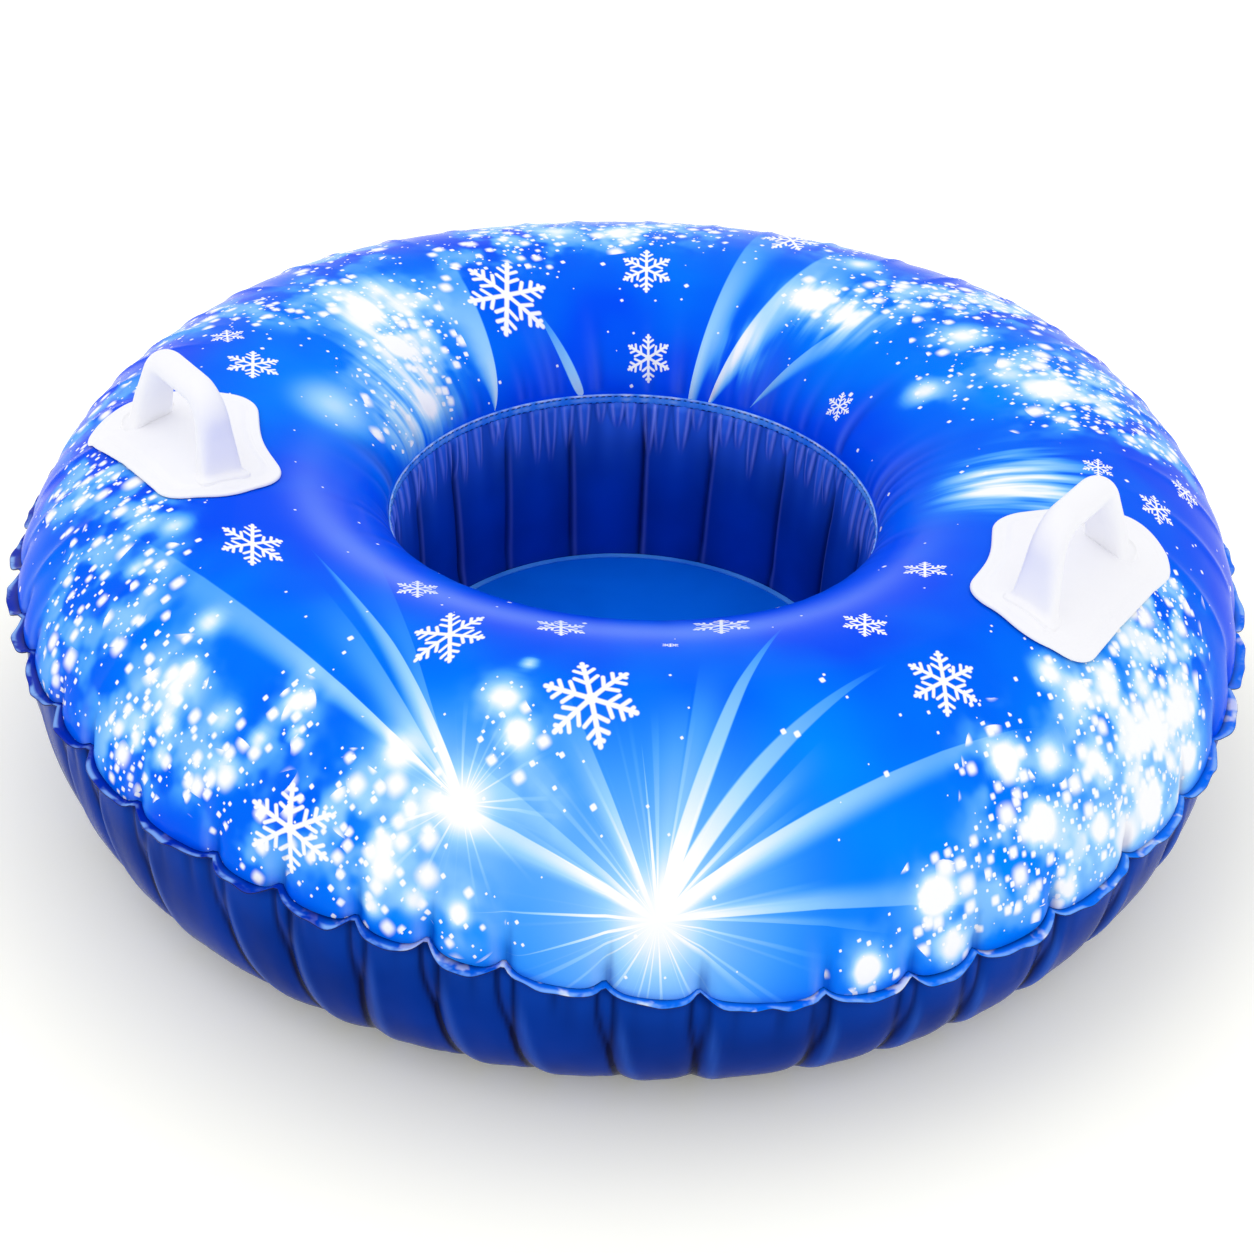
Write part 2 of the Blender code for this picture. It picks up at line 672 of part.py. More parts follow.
def main():
    clear_scene()
    parts = new_collection("snow_tube")
    cutters = new_collection("cutters")
    ring_steps = PLEATS * STEPS_PER_PLEAT
    well_steps = FOLDS * STEPS_PER_FOLD

    blue = material("printed_vinyl", VINYL_BLUE, PRINT_ROUGHNESS)
    navy = material("navy_vinyl", VINYL_NAVY, VINYL_ROUGHNESS)
    dark = material("wall_vinyl", WALL_NAVY, VINYL_ROUGHNESS)
    panel = material("floor_vinyl", FLOOR_BLUE, FLOOR_ROUGHNESS)
    seam = material("seam_vinyl", SEAM_BLUE, VINYL_ROUGHNESS)
    white = material("handle_vinyl", HANDLE_WHITE, HANDLE_ROUGHNESS)
    pale = material("valve_plastic", VALVE_WHITE, VALVE_ROUGHNESS)

    upper = new_object("upper_skin", loft_ring("upper_skin", upper_section, ring_steps, False), parts, blue)
    lower = new_object("lower_skin", loft_ring("lower_skin", lower_section, ring_steps, False), parts, navy)
    wall = new_object("inner_wall", loft_ring("inner_wall", wall_section, well_steps, False), parts, dark)
    for skin in (upper, lower, wall):
        solidify(skin)
    new_object("outer_seam", loft_ring("outer_seam", flange_section, ring_steps, True), parts, seam)

    strip_outer = RIM_RADIUS - GAP
    strip_inner = strip_outer - RIM_STRIP_THICKNESS
    strip_low = RIM_HEIGHT - RIM_STRIP_WIDTH / 2
    strip_high = RIM_HEIGHT + RIM_STRIP_WIDTH / 2
    add_ring("inner_seam", strip_inner, strip_outer, strip_low, strip_high, well_steps, parts, seam)
    bead_outer = FLOOR_RADIUS - GAP
    bead_inner = bead_outer - FLOOR_BEAD_WIDTH
    bead_low = FLOOR_HEIGHT - FLOOR_WELD_PRESS + GAP
    bead_high = bead_low + FLOOR_BEAD_THICKNESS
    add_ring("floor_seam", bead_inner, bead_outer, bead_low, bead_high, well_steps, parts, seam)
    add_floor("floor_panel", bead_inner - GAP, well_steps, (parts, cutters), panel)

    envelopes = {
        "upper": envelope("handle_seat", upper_section, GAP, cutters),
        "plate": envelope("plate_face", upper_section, GAP + PLATE_THICKNESS, cutters),
        "pad": envelope("pad_face", upper_section, GAP + PLATE_THICKNESS + PAD_HEIGHT, cutters),
    }
    for name in HANDLE_PLACES:
        add_handle(name, parts, cutters, white, envelopes)
    add_valve((parts, cutters), pale, lower)


main()
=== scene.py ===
"""The snow tube as photographed: dense vinyl skins, printed pattern, moulded handles, studio light.

Metres, +Z up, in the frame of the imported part. Angles run anticlockwise round the ring from +X.
The print is laid out flat, as it is before the panels are welded: a point's distance from the
middle of the flat print is the well's radius plus the length of skin between it and the rim.
"""

import math

import bpy
import numpy as np
from mathutils import Matrix, Vector


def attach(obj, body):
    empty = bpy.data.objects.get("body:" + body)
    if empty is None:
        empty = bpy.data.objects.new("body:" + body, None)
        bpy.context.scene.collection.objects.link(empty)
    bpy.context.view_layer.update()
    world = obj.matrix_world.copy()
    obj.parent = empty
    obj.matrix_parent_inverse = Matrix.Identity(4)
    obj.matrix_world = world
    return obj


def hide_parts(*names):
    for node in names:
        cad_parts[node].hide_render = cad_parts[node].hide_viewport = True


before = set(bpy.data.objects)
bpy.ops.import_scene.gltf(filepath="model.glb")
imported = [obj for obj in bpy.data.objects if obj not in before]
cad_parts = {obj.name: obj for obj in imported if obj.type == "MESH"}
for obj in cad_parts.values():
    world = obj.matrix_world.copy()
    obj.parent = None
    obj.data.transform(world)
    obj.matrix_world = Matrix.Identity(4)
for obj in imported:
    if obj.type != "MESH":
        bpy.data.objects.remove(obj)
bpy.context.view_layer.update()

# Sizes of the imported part
VINYL = 0.0008
GAP = 0.0003
SEAM_RADIUS = 0.538
SEAM_HEIGHT = 0.199
SEAM_LEAN = 0.052
SEAM_HIGH_SIDE = math.radians(114)
SEAM_BOW = 0.016
SEAM_BOW_SIDE = math.radians(55)
PINCH_DEPTH = 0.008
PINCH_RISE = 0.004
FLANGE_WIDTH = 0.006
FLANGE_LOBE = 0.007
FLANGE_TUCK = 0.003
FLANGE_THICKNESS = 2 * VINYL
RIM_RADIUS = 0.222
RIM_HEIGHT = 0.227
RIM_STRIP_WIDTH = 0.010
RIM_STRIP_THICKNESS = 2 * VINYL
FLOOR_RADIUS = 0.212
FLOOR_HEIGHT = 0.050
CROWN_RADIUS = 0.395
CROWN_HEIGHT = 0.320
SOLE_OUTER_RADIUS = 0.440
SOLE_INNER_RADIUS = 0.330
OUTER_UPPER_FULLNESS = 1.65
INNER_UPPER_FULLNESS = 1.9
OUTER_LOWER_FULLNESS = 2.3
INNER_LOWER_FULLNESS = 2.0
WELD_RUN = 0.005
VALVE_ANGLE = math.radians(93.75)
VALVE_HEIGHT = 0.080
VALVE_HOLE_RADIUS = 0.0175
VALVE_FLAT_RADIUS = 0.036
VALVE_DIMPLE = 0.0034
PINCH_WIDTH = 0.0080
PROFILE_STEPS = 240

# Pinches of the outer seam that the photograph shows, in degrees, and the number out of sight
SEEN_PINCHES = (141.5, 147, 155, 162, 168.2, 174, 179.8, 187, 195, 202.5, 210.5, 216, 224, 230, 237.5,
                247, 253.6, 260.5, 266.5, 272.6, 280.4, 287.7, 297.7, 305, 311, 319.2, 328.5, 338.5, 347,
                354, 362, 369.7, 377, 384.7, 391.4, 399, 406.3, 414, 420.8)
HIDDEN_PINCHES = 9
STEPS_PER_PLEAT = 24
# Where the seam stands off its lean: middle in degrees, half width in degrees, rise
SEAM_WANDER = ((145, 16, 0.014), (190, 14, -0.012), (237, 6, -0.008), (264, 13, 0.007),
               (301, 11, -0.007), (329, 7, 0.007), (55, 14, 0.012))

random = np.random.default_rng(7)


def wrapped(angle):
    return (angle + math.pi) % math.tau - math.pi


def soft_step(low, high, value):
    share = np.clip((value - low) / (high - low), 0, 1)
    return share * share * (3 - 2 * share)


def bell(value, width, power=2.0):
    return np.exp(-np.abs(value / width) ** power)


def pinch_angles():
    seen = np.radians(SEEN_PINCHES)
    gap = (seen[0] + math.tau - seen[-1]) / (HIDDEN_PINCHES + 1)
    hidden = seen[-1] + gap * np.arange(1, HIDDEN_PINCHES + 1)
    hidden += gap * random.uniform(-0.12, 0.12, HIDDEN_PINCHES)
    return np.concatenate([seen, hidden])


PINCHES = pinch_angles()
PLEATS = len(PINCHES)
PINCH_ENDS = np.append(PINCHES, PINCHES[0] + math.tau)
PINCH_SHARE = random.uniform(0.75, 1.1, PLEATS)
PINCH_DRIFT = random.uniform(-0.6, 0.9, PLEATS)


def ring_columns():
    """Angles of the columns of the outer skins, evenly spaced from each pinch to the next."""
    steps = np.arange(STEPS_PER_PLEAT) / STEPS_PER_PLEAT
    return (PINCH_ENDS[:-1, None] + np.diff(PINCH_ENDS)[:, None] * steps).ravel()


COLUMNS = ring_columns()


def gathered(angle, radius, away, shape):
    """Sum over the pinches of a valley's shape, given the way across it and the way from the seam."""
    total = np.zeros(np.broadcast(angle, radius, away).shape)
    for place, share, drift in zip(PINCHES, PINCH_SHARE, PINCH_DRIFT):
        across = wrapped(angle - place) * radius - drift * away ** 2
        total += share * shape(across, away)
    return total


def lobe(angle):
    """0 at a pinch of the outer seam, rising to 1 across the round lobe between two pinches."""
    turned = PINCHES[0] + (angle - PINCHES[0]) % math.tau
    place = np.clip(np.searchsorted(PINCH_ENDS, turned, side="right") - 1, 0, PLEATS - 1)
    share = (turned - PINCH_ENDS[place]) / (PINCH_ENDS[place + 1] - PINCH_ENDS[place])
    arc = np.clip(4 * share * (1 - share), 0, 1) ** 0.8
    pinch = gathered(angle, SEAM_RADIUS, 0.0, lambda across, away: bell(across, PINCH_WIDTH, 1.5))
    return 0.60 * arc + 0.40 * (1 - pinch)


def seam_radius(angle):
    sway = 0.0010 * np.sin(7 * angle + 1) + 0.0006 * np.sin(31 * angle)
    return SEAM_RADIUS + PINCH_DEPTH * lobe(angle) + sway


def seam_height(angle):
    height = SEAM_HEIGHT + SEAM_LEAN * np.cos(angle - SEAM_HIGH_SIDE)
    height = height + SEAM_BOW * np.cos(2 * (angle - SEAM_BOW_SIDE))
    for middle, width, rise in SEAM_WANDER:
        height = height + rise * bell(wrapped(angle - math.radians(middle)), math.radians(width))
    peak = gathered(angle, SEAM_RADIUS, 0.0, lambda across, away: bell(across + 0.002, 0.0075, 1.3))
    return height + 2.0 * PINCH_RISE * peak


def quarter(upright, level, fullness, count):
    """A quarter of a superellipse from upright to level. Each end is a radius and a height."""
    turn = np.linspace(0, math.pi / 2, count)
    across = np.clip(np.cos(turn), 0, 1) ** (2 / fullness)
    along = np.sin(turn) ** (2 / fullness)
    radius = level[0] + (upright[0] - level[0]) * across
    height = upright[1] + (level[1] - upright[1]) * along
    return np.stack([radius, height], 1)


def resampled(points, lengths):
    """Points of a section at the given shares of its length, with the length run at each."""
    run = np.concatenate([[0], np.cumsum(np.hypot(*np.diff(points, axis=0).T))])
    wanted = lengths * run[-1]
    radius = np.interp(wanted, run, points[:, 0])
    height = np.interp(wanted, run, points[:, 1])
    return radius, height, wanted


def upper_profile(angle):
    """Section of the top skin from the outer seam to the rim, without folds."""
    seam = float(seam_height(angle)) + FLANGE_THICKNESS / 2 + GAP
    edge = (SEAM_RADIUS + PINCH_DEPTH, seam + WELD_RUN)
    crown = (CROWN_RADIUS, CROWN_HEIGHT)
    outer = quarter(edge, crown, OUTER_UPPER_FULLNESS, PROFILE_STEPS)
    weld = RIM_HEIGHT + GAP / 2
    inner = quarter((RIM_RADIUS, weld + WELD_RUN), crown, INNER_UPPER_FULLNESS, PROFILE_STEPS)[::-1]
    return np.concatenate([[(edge[0], seam)], outer, inner[1:], [(RIM_RADIUS, weld)]])


def lower_profile(angle):
    """Section of the bottom skin from the floor's weld over the sole to the outer seam."""
    weld = FLOOR_HEIGHT - VINYL - GAP
    edge = (SEAM_RADIUS + PINCH_DEPTH, float(seam_height(angle)) - FLANGE_THICKNESS / 2 - GAP)
    start = (FLOOR_RADIUS, weld - WELD_RUN)
    inner = quarter(start, (SOLE_INNER_RADIUS, 0), INNER_LOWER_FULLNESS, PROFILE_STEPS)
    outer = quarter(edge, (SOLE_OUTER_RADIUS, 0), OUTER_LOWER_FULLNESS, PROFILE_STEPS)[::-1]
    return np.concatenate([[(FLOOR_RADIUS, weld)], inner, outer])


def shares_in(*stretches):
    """Shares of a length, in stretches that are given by their ends and their numbers of steps."""
    parts = [np.linspace(low, high, steps, endpoint=False) for low, high, steps in stretches]
    return np.append(np.concatenate(parts), 1.0)


def skin_arrays(profile, angles, shares):
    """Radius, height and length run, each by column and row."""
    rows = [resampled(profile(angle), shares) for angle in angles]
    return [np.array([row[part] for row in rows]) for part in range(3)]


def out_of_skin(radius, height):
    """Unit normals of the sections, as radius and height parts."""
    along_radius = np.gradient(radius, axis=1)
    along_height = np.gradient(height, axis=1)
    size = np.hypot(along_radius, along_height)
    return along_height / size, -along_radius / size


def ring_mesh(name, angles, radius, height, closed_section=False, hole=None):
    """A skin round the whole ring, from radii and heights by column and row, open where hole is true."""
    columns, rows = radius.shape
    turn = angles[:, None]
    points = np.stack([radius * np.cos(turn), radius * np.sin(turn), height], -1).reshape(-1, 3)
    column = np.arange(columns)[:, None]
    row = np.arange(rows if closed_section else rows - 1)[None, :]
    beyond = (column + 1) % columns
    above = (row + 1) % rows
    corners = [column * rows + row, beyond * rows + row, beyond * rows + above, column * rows + above]
    faces = np.stack([np.broadcast_to(corner, (columns, row.size)) for corner in corners], -1).reshape(-1, 4)
    if hole is not None:
        faces = faces[~hole.ravel()[faces].any(1)]
    return grid_object(name, points, faces)


def grid_object(name, points, faces):
    mesh = bpy.data.meshes.new(name)
    mesh.vertices.add(len(points))
    mesh.vertices.foreach_set("co", points.ravel())
    mesh.loops.add(faces.size)
    mesh.loops.foreach_set("vertex_index", faces.ravel().astype(np.int32))
    mesh.polygons.add(len(faces))
    mesh.polygons.foreach_set("loop_start", np.arange(0, faces.size, faces.shape[1], dtype=np.int32))
    mesh.polygons.foreach_set("use_smooth", np.ones(len(faces), bool))
    mesh.update(calc_edges=True)
    mesh.validate()
    return linked(name, mesh)


def linked(name, data):
    """A new object in the scene."""
    item = bpy.data.objects.new(name, data)
    bpy.context.scene.collection.objects.link(item)
    return item


def stand_in(item, finish, node):
    """The item shows in place of one CAD node of the tube."""
    item.data.materials.append(finish)
    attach(item, "tube")
    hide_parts(node)


def at_corners(item, values):
    """The values of the vertices, repeated at each corner of each face."""
    corner = np.empty(len(item.data.loops), np.int32)
    item.data.loops.foreach_get("vertex_index", corner)
    return values.reshape(-1, values.shape[-1])[corner]


def add_uv(item, name, places):
    layer = item.data.uv_layers.new(name=name)
    layer.data.foreach_set("uv", places.astype(np.float32).ravel())


def add_field(item, name, values):
    layer = item.data.attributes.new(name, "FLOAT", "POINT")
    layer.data.foreach_set("value", values.astype(np.float32).ravel())


# Shader building


def formula(operation):
    """A step of a formula, which works on a value and mostly on one more."""
    def step(value, *others):
        return value.nodes.math(operation, value, *others)
    return step


class Value:
    """A number, colour or place at each point of a surface, for use in formulas."""

    __add__ = formula("ADD")
    __sub__ = formula("SUBTRACT")
    __mul__ = formula("MULTIPLY")
    __truediv__ = formula("DIVIDE")
    __pow__ = formula("POWER")
    __abs__ = formula("ABSOLUTE")
    sine = formula("SINE")
    cosine = formula("COSINE")
    root = formula("SQRT")
    most = formula("MAXIMUM")
    least = formula("MINIMUM")

    def __init__(self, nodes, socket):
        self.nodes = nodes
        self.socket = socket

    def __rsub__(self, other):
        return self.nodes.math("SUBTRACT", other, self)

    def clamped(self):
        """The result of a sum, kept between 0 and 1."""
        self.socket.node.use_clamp = True
        return self

    def beside(self, output):
        """Another output of the same node."""
        return Value(self.nodes, self.socket.node.outputs[output])


class Nodes:
    """Short forms for the nodes of one material, or of the world."""

    def __init__(self, data, shader="Principled BSDF"):
        data.use_nodes = True
        self.data = data
        self.tree = data.node_tree
        self.shader = self.tree.nodes[shader]

    def put(self, socket, value):
        if isinstance(value, Value):
            self.tree.links.new(value.socket, socket)
        else:
            socket.default_value = value

    def set(self, name, value):
        self.put(self.shader.inputs[name], value)

    def add(self, kind, output, inputs=None, **settings):
        """A new node with the given settings and inputs, as the value of one of its outputs."""
        node = self.tree.nodes.new("ShaderNode" + kind)
        for name, value in settings.items():
            setattr(node, name, value)
        for name, value in (inputs or {}).items():
            self.put(node.inputs[name], value)
        return Value(self, node.outputs[output])

    def math(self, operation, *values):
        return self.add("Math", 0, dict(enumerate(values)), operation=operation)

    def rise(self, value, low, high):
        """0 below low, 1 above high, smooth between."""
        inputs = {"Value": value, "From Min": low, "From Max": high}
        return self.add("MapRange", "Result", inputs, interpolation_type="SMOOTHSTEP")

    def vector(self, operation, first, second=(0, 0, 0)):
        output = "Value" if operation in ("LENGTH", "DOT_PRODUCT") else "Vector"
        other = "Scale" if operation == "SCALE" else 1
        return self.add("VectorMath", output, {0: first, other: second}, operation=operation)

    def split(self, vector):
        x = self.add("SeparateXYZ", 0, {0: vector})
        return x, x.beside(1)

    def place(self):
        return self.add("TexCoord", "Object")

    def uv(self, name):
        return self.add("UVMap", "UV", uv_map=name)

    def field(self, name):
        return self.add("Attribute", "Fac", attribute_name=name)

    def noise(self, vector, scale, detail=2.0, flat=False):
        inputs = {"Vector": vector, "Scale": scale, "Detail": detail}
        return self.add("TexNoise", "Fac", inputs, noise_dimensions="2D" if flat else "3D")

    def mix(self, share, first, second):
        return self.add("Mix", "Result", {"Factor": share, "A": first, "B": second}, data_type="RGBA")

    def spots(self, vector, scale, points, seed):
        """Distance to the nearest of many scattered points, and two random values for that point.

        Spots are diamonds where points is 1, and round where it is 2."""
        shifted = self.vector("ADD", vector, (seed, seed, 0))
        inputs = {"Vector": shifted, "Scale": scale, "Exponent": points, "Randomness": 0.75}
        distance = self.add("TexVoronoi", "Distance", inputs, voronoi_dimensions="2D", distance="MINKOWSKI")
        chance = self.add("SeparateColor", 0, {0: distance.beside("Color")})
        return distance, chance, chance.beside(1)

    def seen(self):
        """1 for what the camera sees, also in gloss or through glass, and 0 for light on a surface."""
        camera = self.add("LightPath", "Is Camera Ray")
        return camera.most(camera.beside("Is Glossy Ray")).most(camera.beside("Is Transmission Ray"))

    def finished(self, colour, rough, gloss, grain):
        """The material. Its fine uneven face is given by scale, detail, strength and depth."""
        scale, detail, strength, depth = grain
        height = self.noise(self.place(), scale, detail)
        face = self.add("Bump", "Normal", {"Height": height, "Strength": strength, "Distance": depth})
        self.set("Base Color", colour)
        self.set("Roughness", rough)
        self.set("Specular IOR Level", gloss)
        self.set("Normal", face)
        return self.data


def srgb(red, green, blue):
    """Linear colour from 0-255 display values."""
    def linear(value):
        share = value / 255
        return share / 12.92 if share <= 0.04045 else ((share + 0.055) / 1.055) ** 2.4
    return (linear(red), linear(green), linear(blue), 1)


# Plain vinyls: darkest and lightest colour, roughness and gloss, and the colours of the painted light and
# painted highlights drawn on them
PLAIN_FINISHES = {
    "navy_vinyl": ((0, 42, 130), (0, 52, 154), 0.22, 0.016, (20, 84, 205), (54, 108, 215)),
    "wall_vinyl": ((0, 52, 162), (0, 62, 186), 0.22, 0.08, (60, 124, 255), (140, 160, 255)),
    "floor_vinyl": ((0, 102, 230), (2, 112, 242), 0.35, 0.06),
    "seam_vinyl": ((30, 128, 248), (90, 170, 255), 0.15, 0.15, (252, 253, 255), (190, 225, 255)),
    "valve_plastic": ((225, 228, 235), (238, 240, 245), 0.42, 0.4),
}
# Colour of the painted shade in creases, grooves and hollows
CREASE_SHADE_BLUE = srgb(0, 8, 56)


def vinyl(name, dark, light, rough, gloss, top=None, gleam=None):
    """Plain soft vinyl: slight mottling, smears of gloss and a fine uneven face."""
    nodes = Nodes(bpy.data.materials.new(name))
    place = nodes.place()
    mottle = nodes.rise(nodes.noise(place, 9.0, 3.0), 0.3, 0.7)
    colour = nodes.mix(mottle, srgb(*dark), srgb(*light))
    if top:
        # Painted light in the top colour, painted shade in creases, and painted highlights in the gleam
        # colour
        colour = nodes.mix(nodes.field("light"), colour, srgb(*top))
        colour = nodes.mix((nodes.field("shade") * 0.85).clamped(), colour, CREASE_SHADE_BLUE)
        colour = nodes.mix((nodes.field("sheen") * 0.7).clamped(), colour, srgb(*gleam))
    smear = nodes.noise(place, 35.0, 4.0) * (rough * 0.5) + rough * 0.75
    return nodes.finished(colour, smear, gloss, (140.0, 3.0, 0.3, 0.0004))


# Printed top panel, with all places and sizes of the flat print in millimetres

MM = 0.001
# Snowflakes: angle in degrees and distance, half sizes round the ring and across it, turn in degrees
FLAKES = (
    (127, 347, 47.7, 57.3, 58), (100.5, 378, 30.7, 36.6, 28), (99, 264, 25.9, 25.4, 26),
    (48, 269, 16.8, 15.4, 3), (81.3, 500, 30, 48.9, 47), (177.5, 406, 26.8, 27.2, 40),
    (171.1, 454, 16.2, 19, 33), (227.5, 419, 41.2, 24.6, 38), (259.5, 409, 28.5, 45.1, 49),
    (248.5, 352, 18.8, 21.8, 45), (271.5, 356, 24.1, 18.1, 20), (295, 337, 29, 21.1, 42),
    (312.5, 390, 18.7, 24, 16), (331, 351, 16.1, 22.7, 36), (277.5, 455, 40.6, 43.5, 12),
    (314.5, 475, 33.5, 29.1, 54), (253.9, 603, 44.1, 33.4, 18), (1, 501, 22.5, 19.3, 49),
    (4.7, 445, 17.1, 15.3, 2), (286.5, 377, 8.1, 3.9, 33), (9.3, 540, 20, 17, 36),
)
# Clusters of snow: x, y, radius, weight
SNOW = (
    (-445, -351, 35, 0.8), (-425, -295, 40, 0.7), (-365, -389, 35, 0.8), (-445, -421, 45, 0.8),
    (-354, -482, 40, 0.7), (-352, -334, 30, 0.4), (-489, -211, 45, 0.8), (-399, -250, 35, 0.8),
    (-296, -456, 40, 0.7), (-357, -517, 35, 0.9), (-313, -500, 30, 0.5), (-233, -535, 35, 0.8),
    (-271, -524, 30, 0.5), (-181, -482, 25, 0.7), (-177, -508, 20, 0.6), (-133, -578, 40, 0.7),
    (-79, -589, 35, 0.7), (-115, -549, 30, 0.5), (-208, -603, 35, 0.6), (-94, -631, 30, 0.8),
    (-13, -629, 30, 0.7), (-49, -557, 30, 0.5), (-14, -463, 22, 0.7), (9, -495, 25, 0.8),
    (43, -536, 20, 0.4), (395, -376, 35, 0.8), (448, -400, 40, 0.8), (455, -283, 40, 0.9),
    (489, -318, 40, 0.9), (511, -171, 40, 1), (561, -196, 50, 1), (517, -163, 45, 1), (381, -503, 30, 0.8),
    (347, -578, 28, 0.7), (417, -513, 35, 0.7), (448, -461, 35, 0.7), (492, -419, 40, 0.8),
    (520, -363, 40, 0.9), (569, -277, 45, 1), (543, -248, 45, 0.9), (525, -112, 45, 0.9),
    (513, -240, 45, 1), (408, -440, 30, 0.6), (295, 270, 40, 0.6), (378, 227, 45, 0.9), (403, 147, 45, 0.7),
    (239, 361, 45, 0.8), (195, 374, 35, 0.7), (323, 381, 45, 0.9), (439, 195, 45, 0.9), (470, 151, 40, 0.7),
    (516, 144, 40, 0.6), (287, 190, 30, 0.5), (145, 350, 35, 0.8), (-384, 200, 40, 0.8),
    (-300, 166, 45, 0.9), (-304, 70, 30, 0.5), (-261, 145, 40, 0.8), (-393, 128, 30, 0.4),
    (-438, 138, 35, 0.6), (-293, 225, 30, 0.6), (-270, 36, 30, 0.6), (-203, 366, 35, 0.8),
    (-134, 427, 35, 0.9), (-93, 458, 35, 0.8), (-272, 318, 35, 0.6), (-257, 401, 40, 0.7),
    (-43, 486, 60, 0.6), (129, 480, 50, 0.5), (-220, 457, 60, 0.7), (300, 411, 60, 0.6),
    (437, 262, 70, 0.6), (-406, 316, 60, 0.6), (-513, 138, 60, 0.6), (-546, -46, 60, 0.6),
    (-486, -168, 50, 0.6),
)
# Where the ground turns from royal to azure blue: x, y, radius, weight
AZURE = (
    (151, -600, 160, 0.64), (-22, -550, 120, 0.48), (-176, -427, 80, 0.48), (-296, -456, 100, 0.56),
    (242, -415, 60, 0.4), (325, -510, 120, 0.48), (515, -213, 120, 0.48), (-444, -353, 90, 0.4),
    (-343, 9, 100, 0.64), (-335, 182, 120, 0.64), (145, 340, 110, 0.64), (350, 250, 130, 0.48),
    (350, -12, 70, 0.64), (-170, 400, 100, 0.4), (-7, -645, 150, 0.56), (0, 516, 150, 0.4),
    (460, -400, 130, 0.72), (380, 180, 90, 0.4),
)
# Soft white glows and fuzzy stars: x, y, radius, weight
GLOWS = (
    (151, -600, 115, 0.5), (151, -600, 40, 0.75), (-22, -550, 60, 0.45), (-22, -550, 22, 0.9),
    (-82, -519, 14, 1.12), (-82, -519, 35, 0.25), (-7, -466, 13.5, 1.2), (10, -492, 10, 1.2),
    (-82, -584, 8.5, 1.12), (-80, -603, 9.5, 1.05), (-90, -633, 8.5, 1.2), (-52, -625, 9.8, 1.12),
    (-13, -629, 8, 1.2), (1, -425, 6, 0.98), (-64, -559, 6.2, 0.9), (-283, -407, 12, 0.98),
    (-287, -447, 7.4, 1), (-179, -482, 9, 1.2), (-300, -492, 8, 1.12), (-243, -493, 13, 0.9),
    (-206, -512, 7.2, 0.98), (-173, -507, 6.2, 1.05), (-360, -290, 12, 0.9), (-394, -283, 12, 0.9),
    (-377, -339, 8.5, 0.9), (-303, -461, 26, 0.95), (-306, -517, 8, 0.98), (-337, -501, 6.6, 0.9),
    (-233, -535, 12, 0.9), (-335, 182, 45, 0.5), (-320, 0, 34, 0.8), (350, -12, 30, 0.4),
    (560, -300, 60, 0.45), (590, -220, 50, 0.5), (530, -360, 50, 0.35), (-336, 170, 18, 0.95),
    (-292, 142, 14, 0.95), (-243, 96, 14, 1), (-243, 96, 28, 0.35), (117, 352, 18, 1), (164, 325, 18, 1.05),
    (162, 442, 16, 0.95), (295, 290, 18, 1.05), (270, 190, 15, 1), (-186, 425, 20, 0.95),
    (-123, 442, 20, 1), (382, 184, 24, 0.8), (350, 212, 18, 0.9), (-344, 221, 22, 0.6),
    (401, -372, 13, 1.15), (481, -322, 15, 1.05), (454, -400, 12, 1.2), (471, -246, 14, 1.15),
    (547, -247, 13, 1.05), (380, -499, 15, 1.2), (347, -578, 12, 1.15), (517, -425, 14, 1.05),
    (518, -364, 13, 1.2), (572, -302, 15, 1.15), (604, -222, 12, 1.05), (439, -350, 14, 1.2),
    (420, -279, 13, 1.15), (564, -348, 15, 1.05), (453, -280, 12, 1.2), (514, -224, 14, 1.15),
    (621, -252, 13, 1.05), (421, -526, 15, 1.2), (395, -376, 12, 1.05), (448, -400, 14, 1.05),
    (381, -503, 12, 1.05), (347, -578, 12, 0.98), (375, -515, 30, 0.3),
)
# Streaky white patches: x, y, radius, weight
PATCHES = (
    (380, 10, 45, 1), (410, -30, 35, 0.9), (345, 0, 35, 0.7), (127, 350, 35, 0.8), (172, 318, 35, 0.8),
    (-335, 182, 50, 0.7), (-280, 110, 45, 0.9), (-250, 60, 35, 0.8), (60, 280, 30, 0.5),
)
MAIN_BURST = (151.5, -600)
SIDE_BURST = (-22.1, -549.9)
BACK_BURST = (2, 179)
BACK_RIGHT = (26, 218)
BACK_EAST = (74, 220)
BACK_THIN = (-98, 204)
BACK_WEST = (-174, 147)
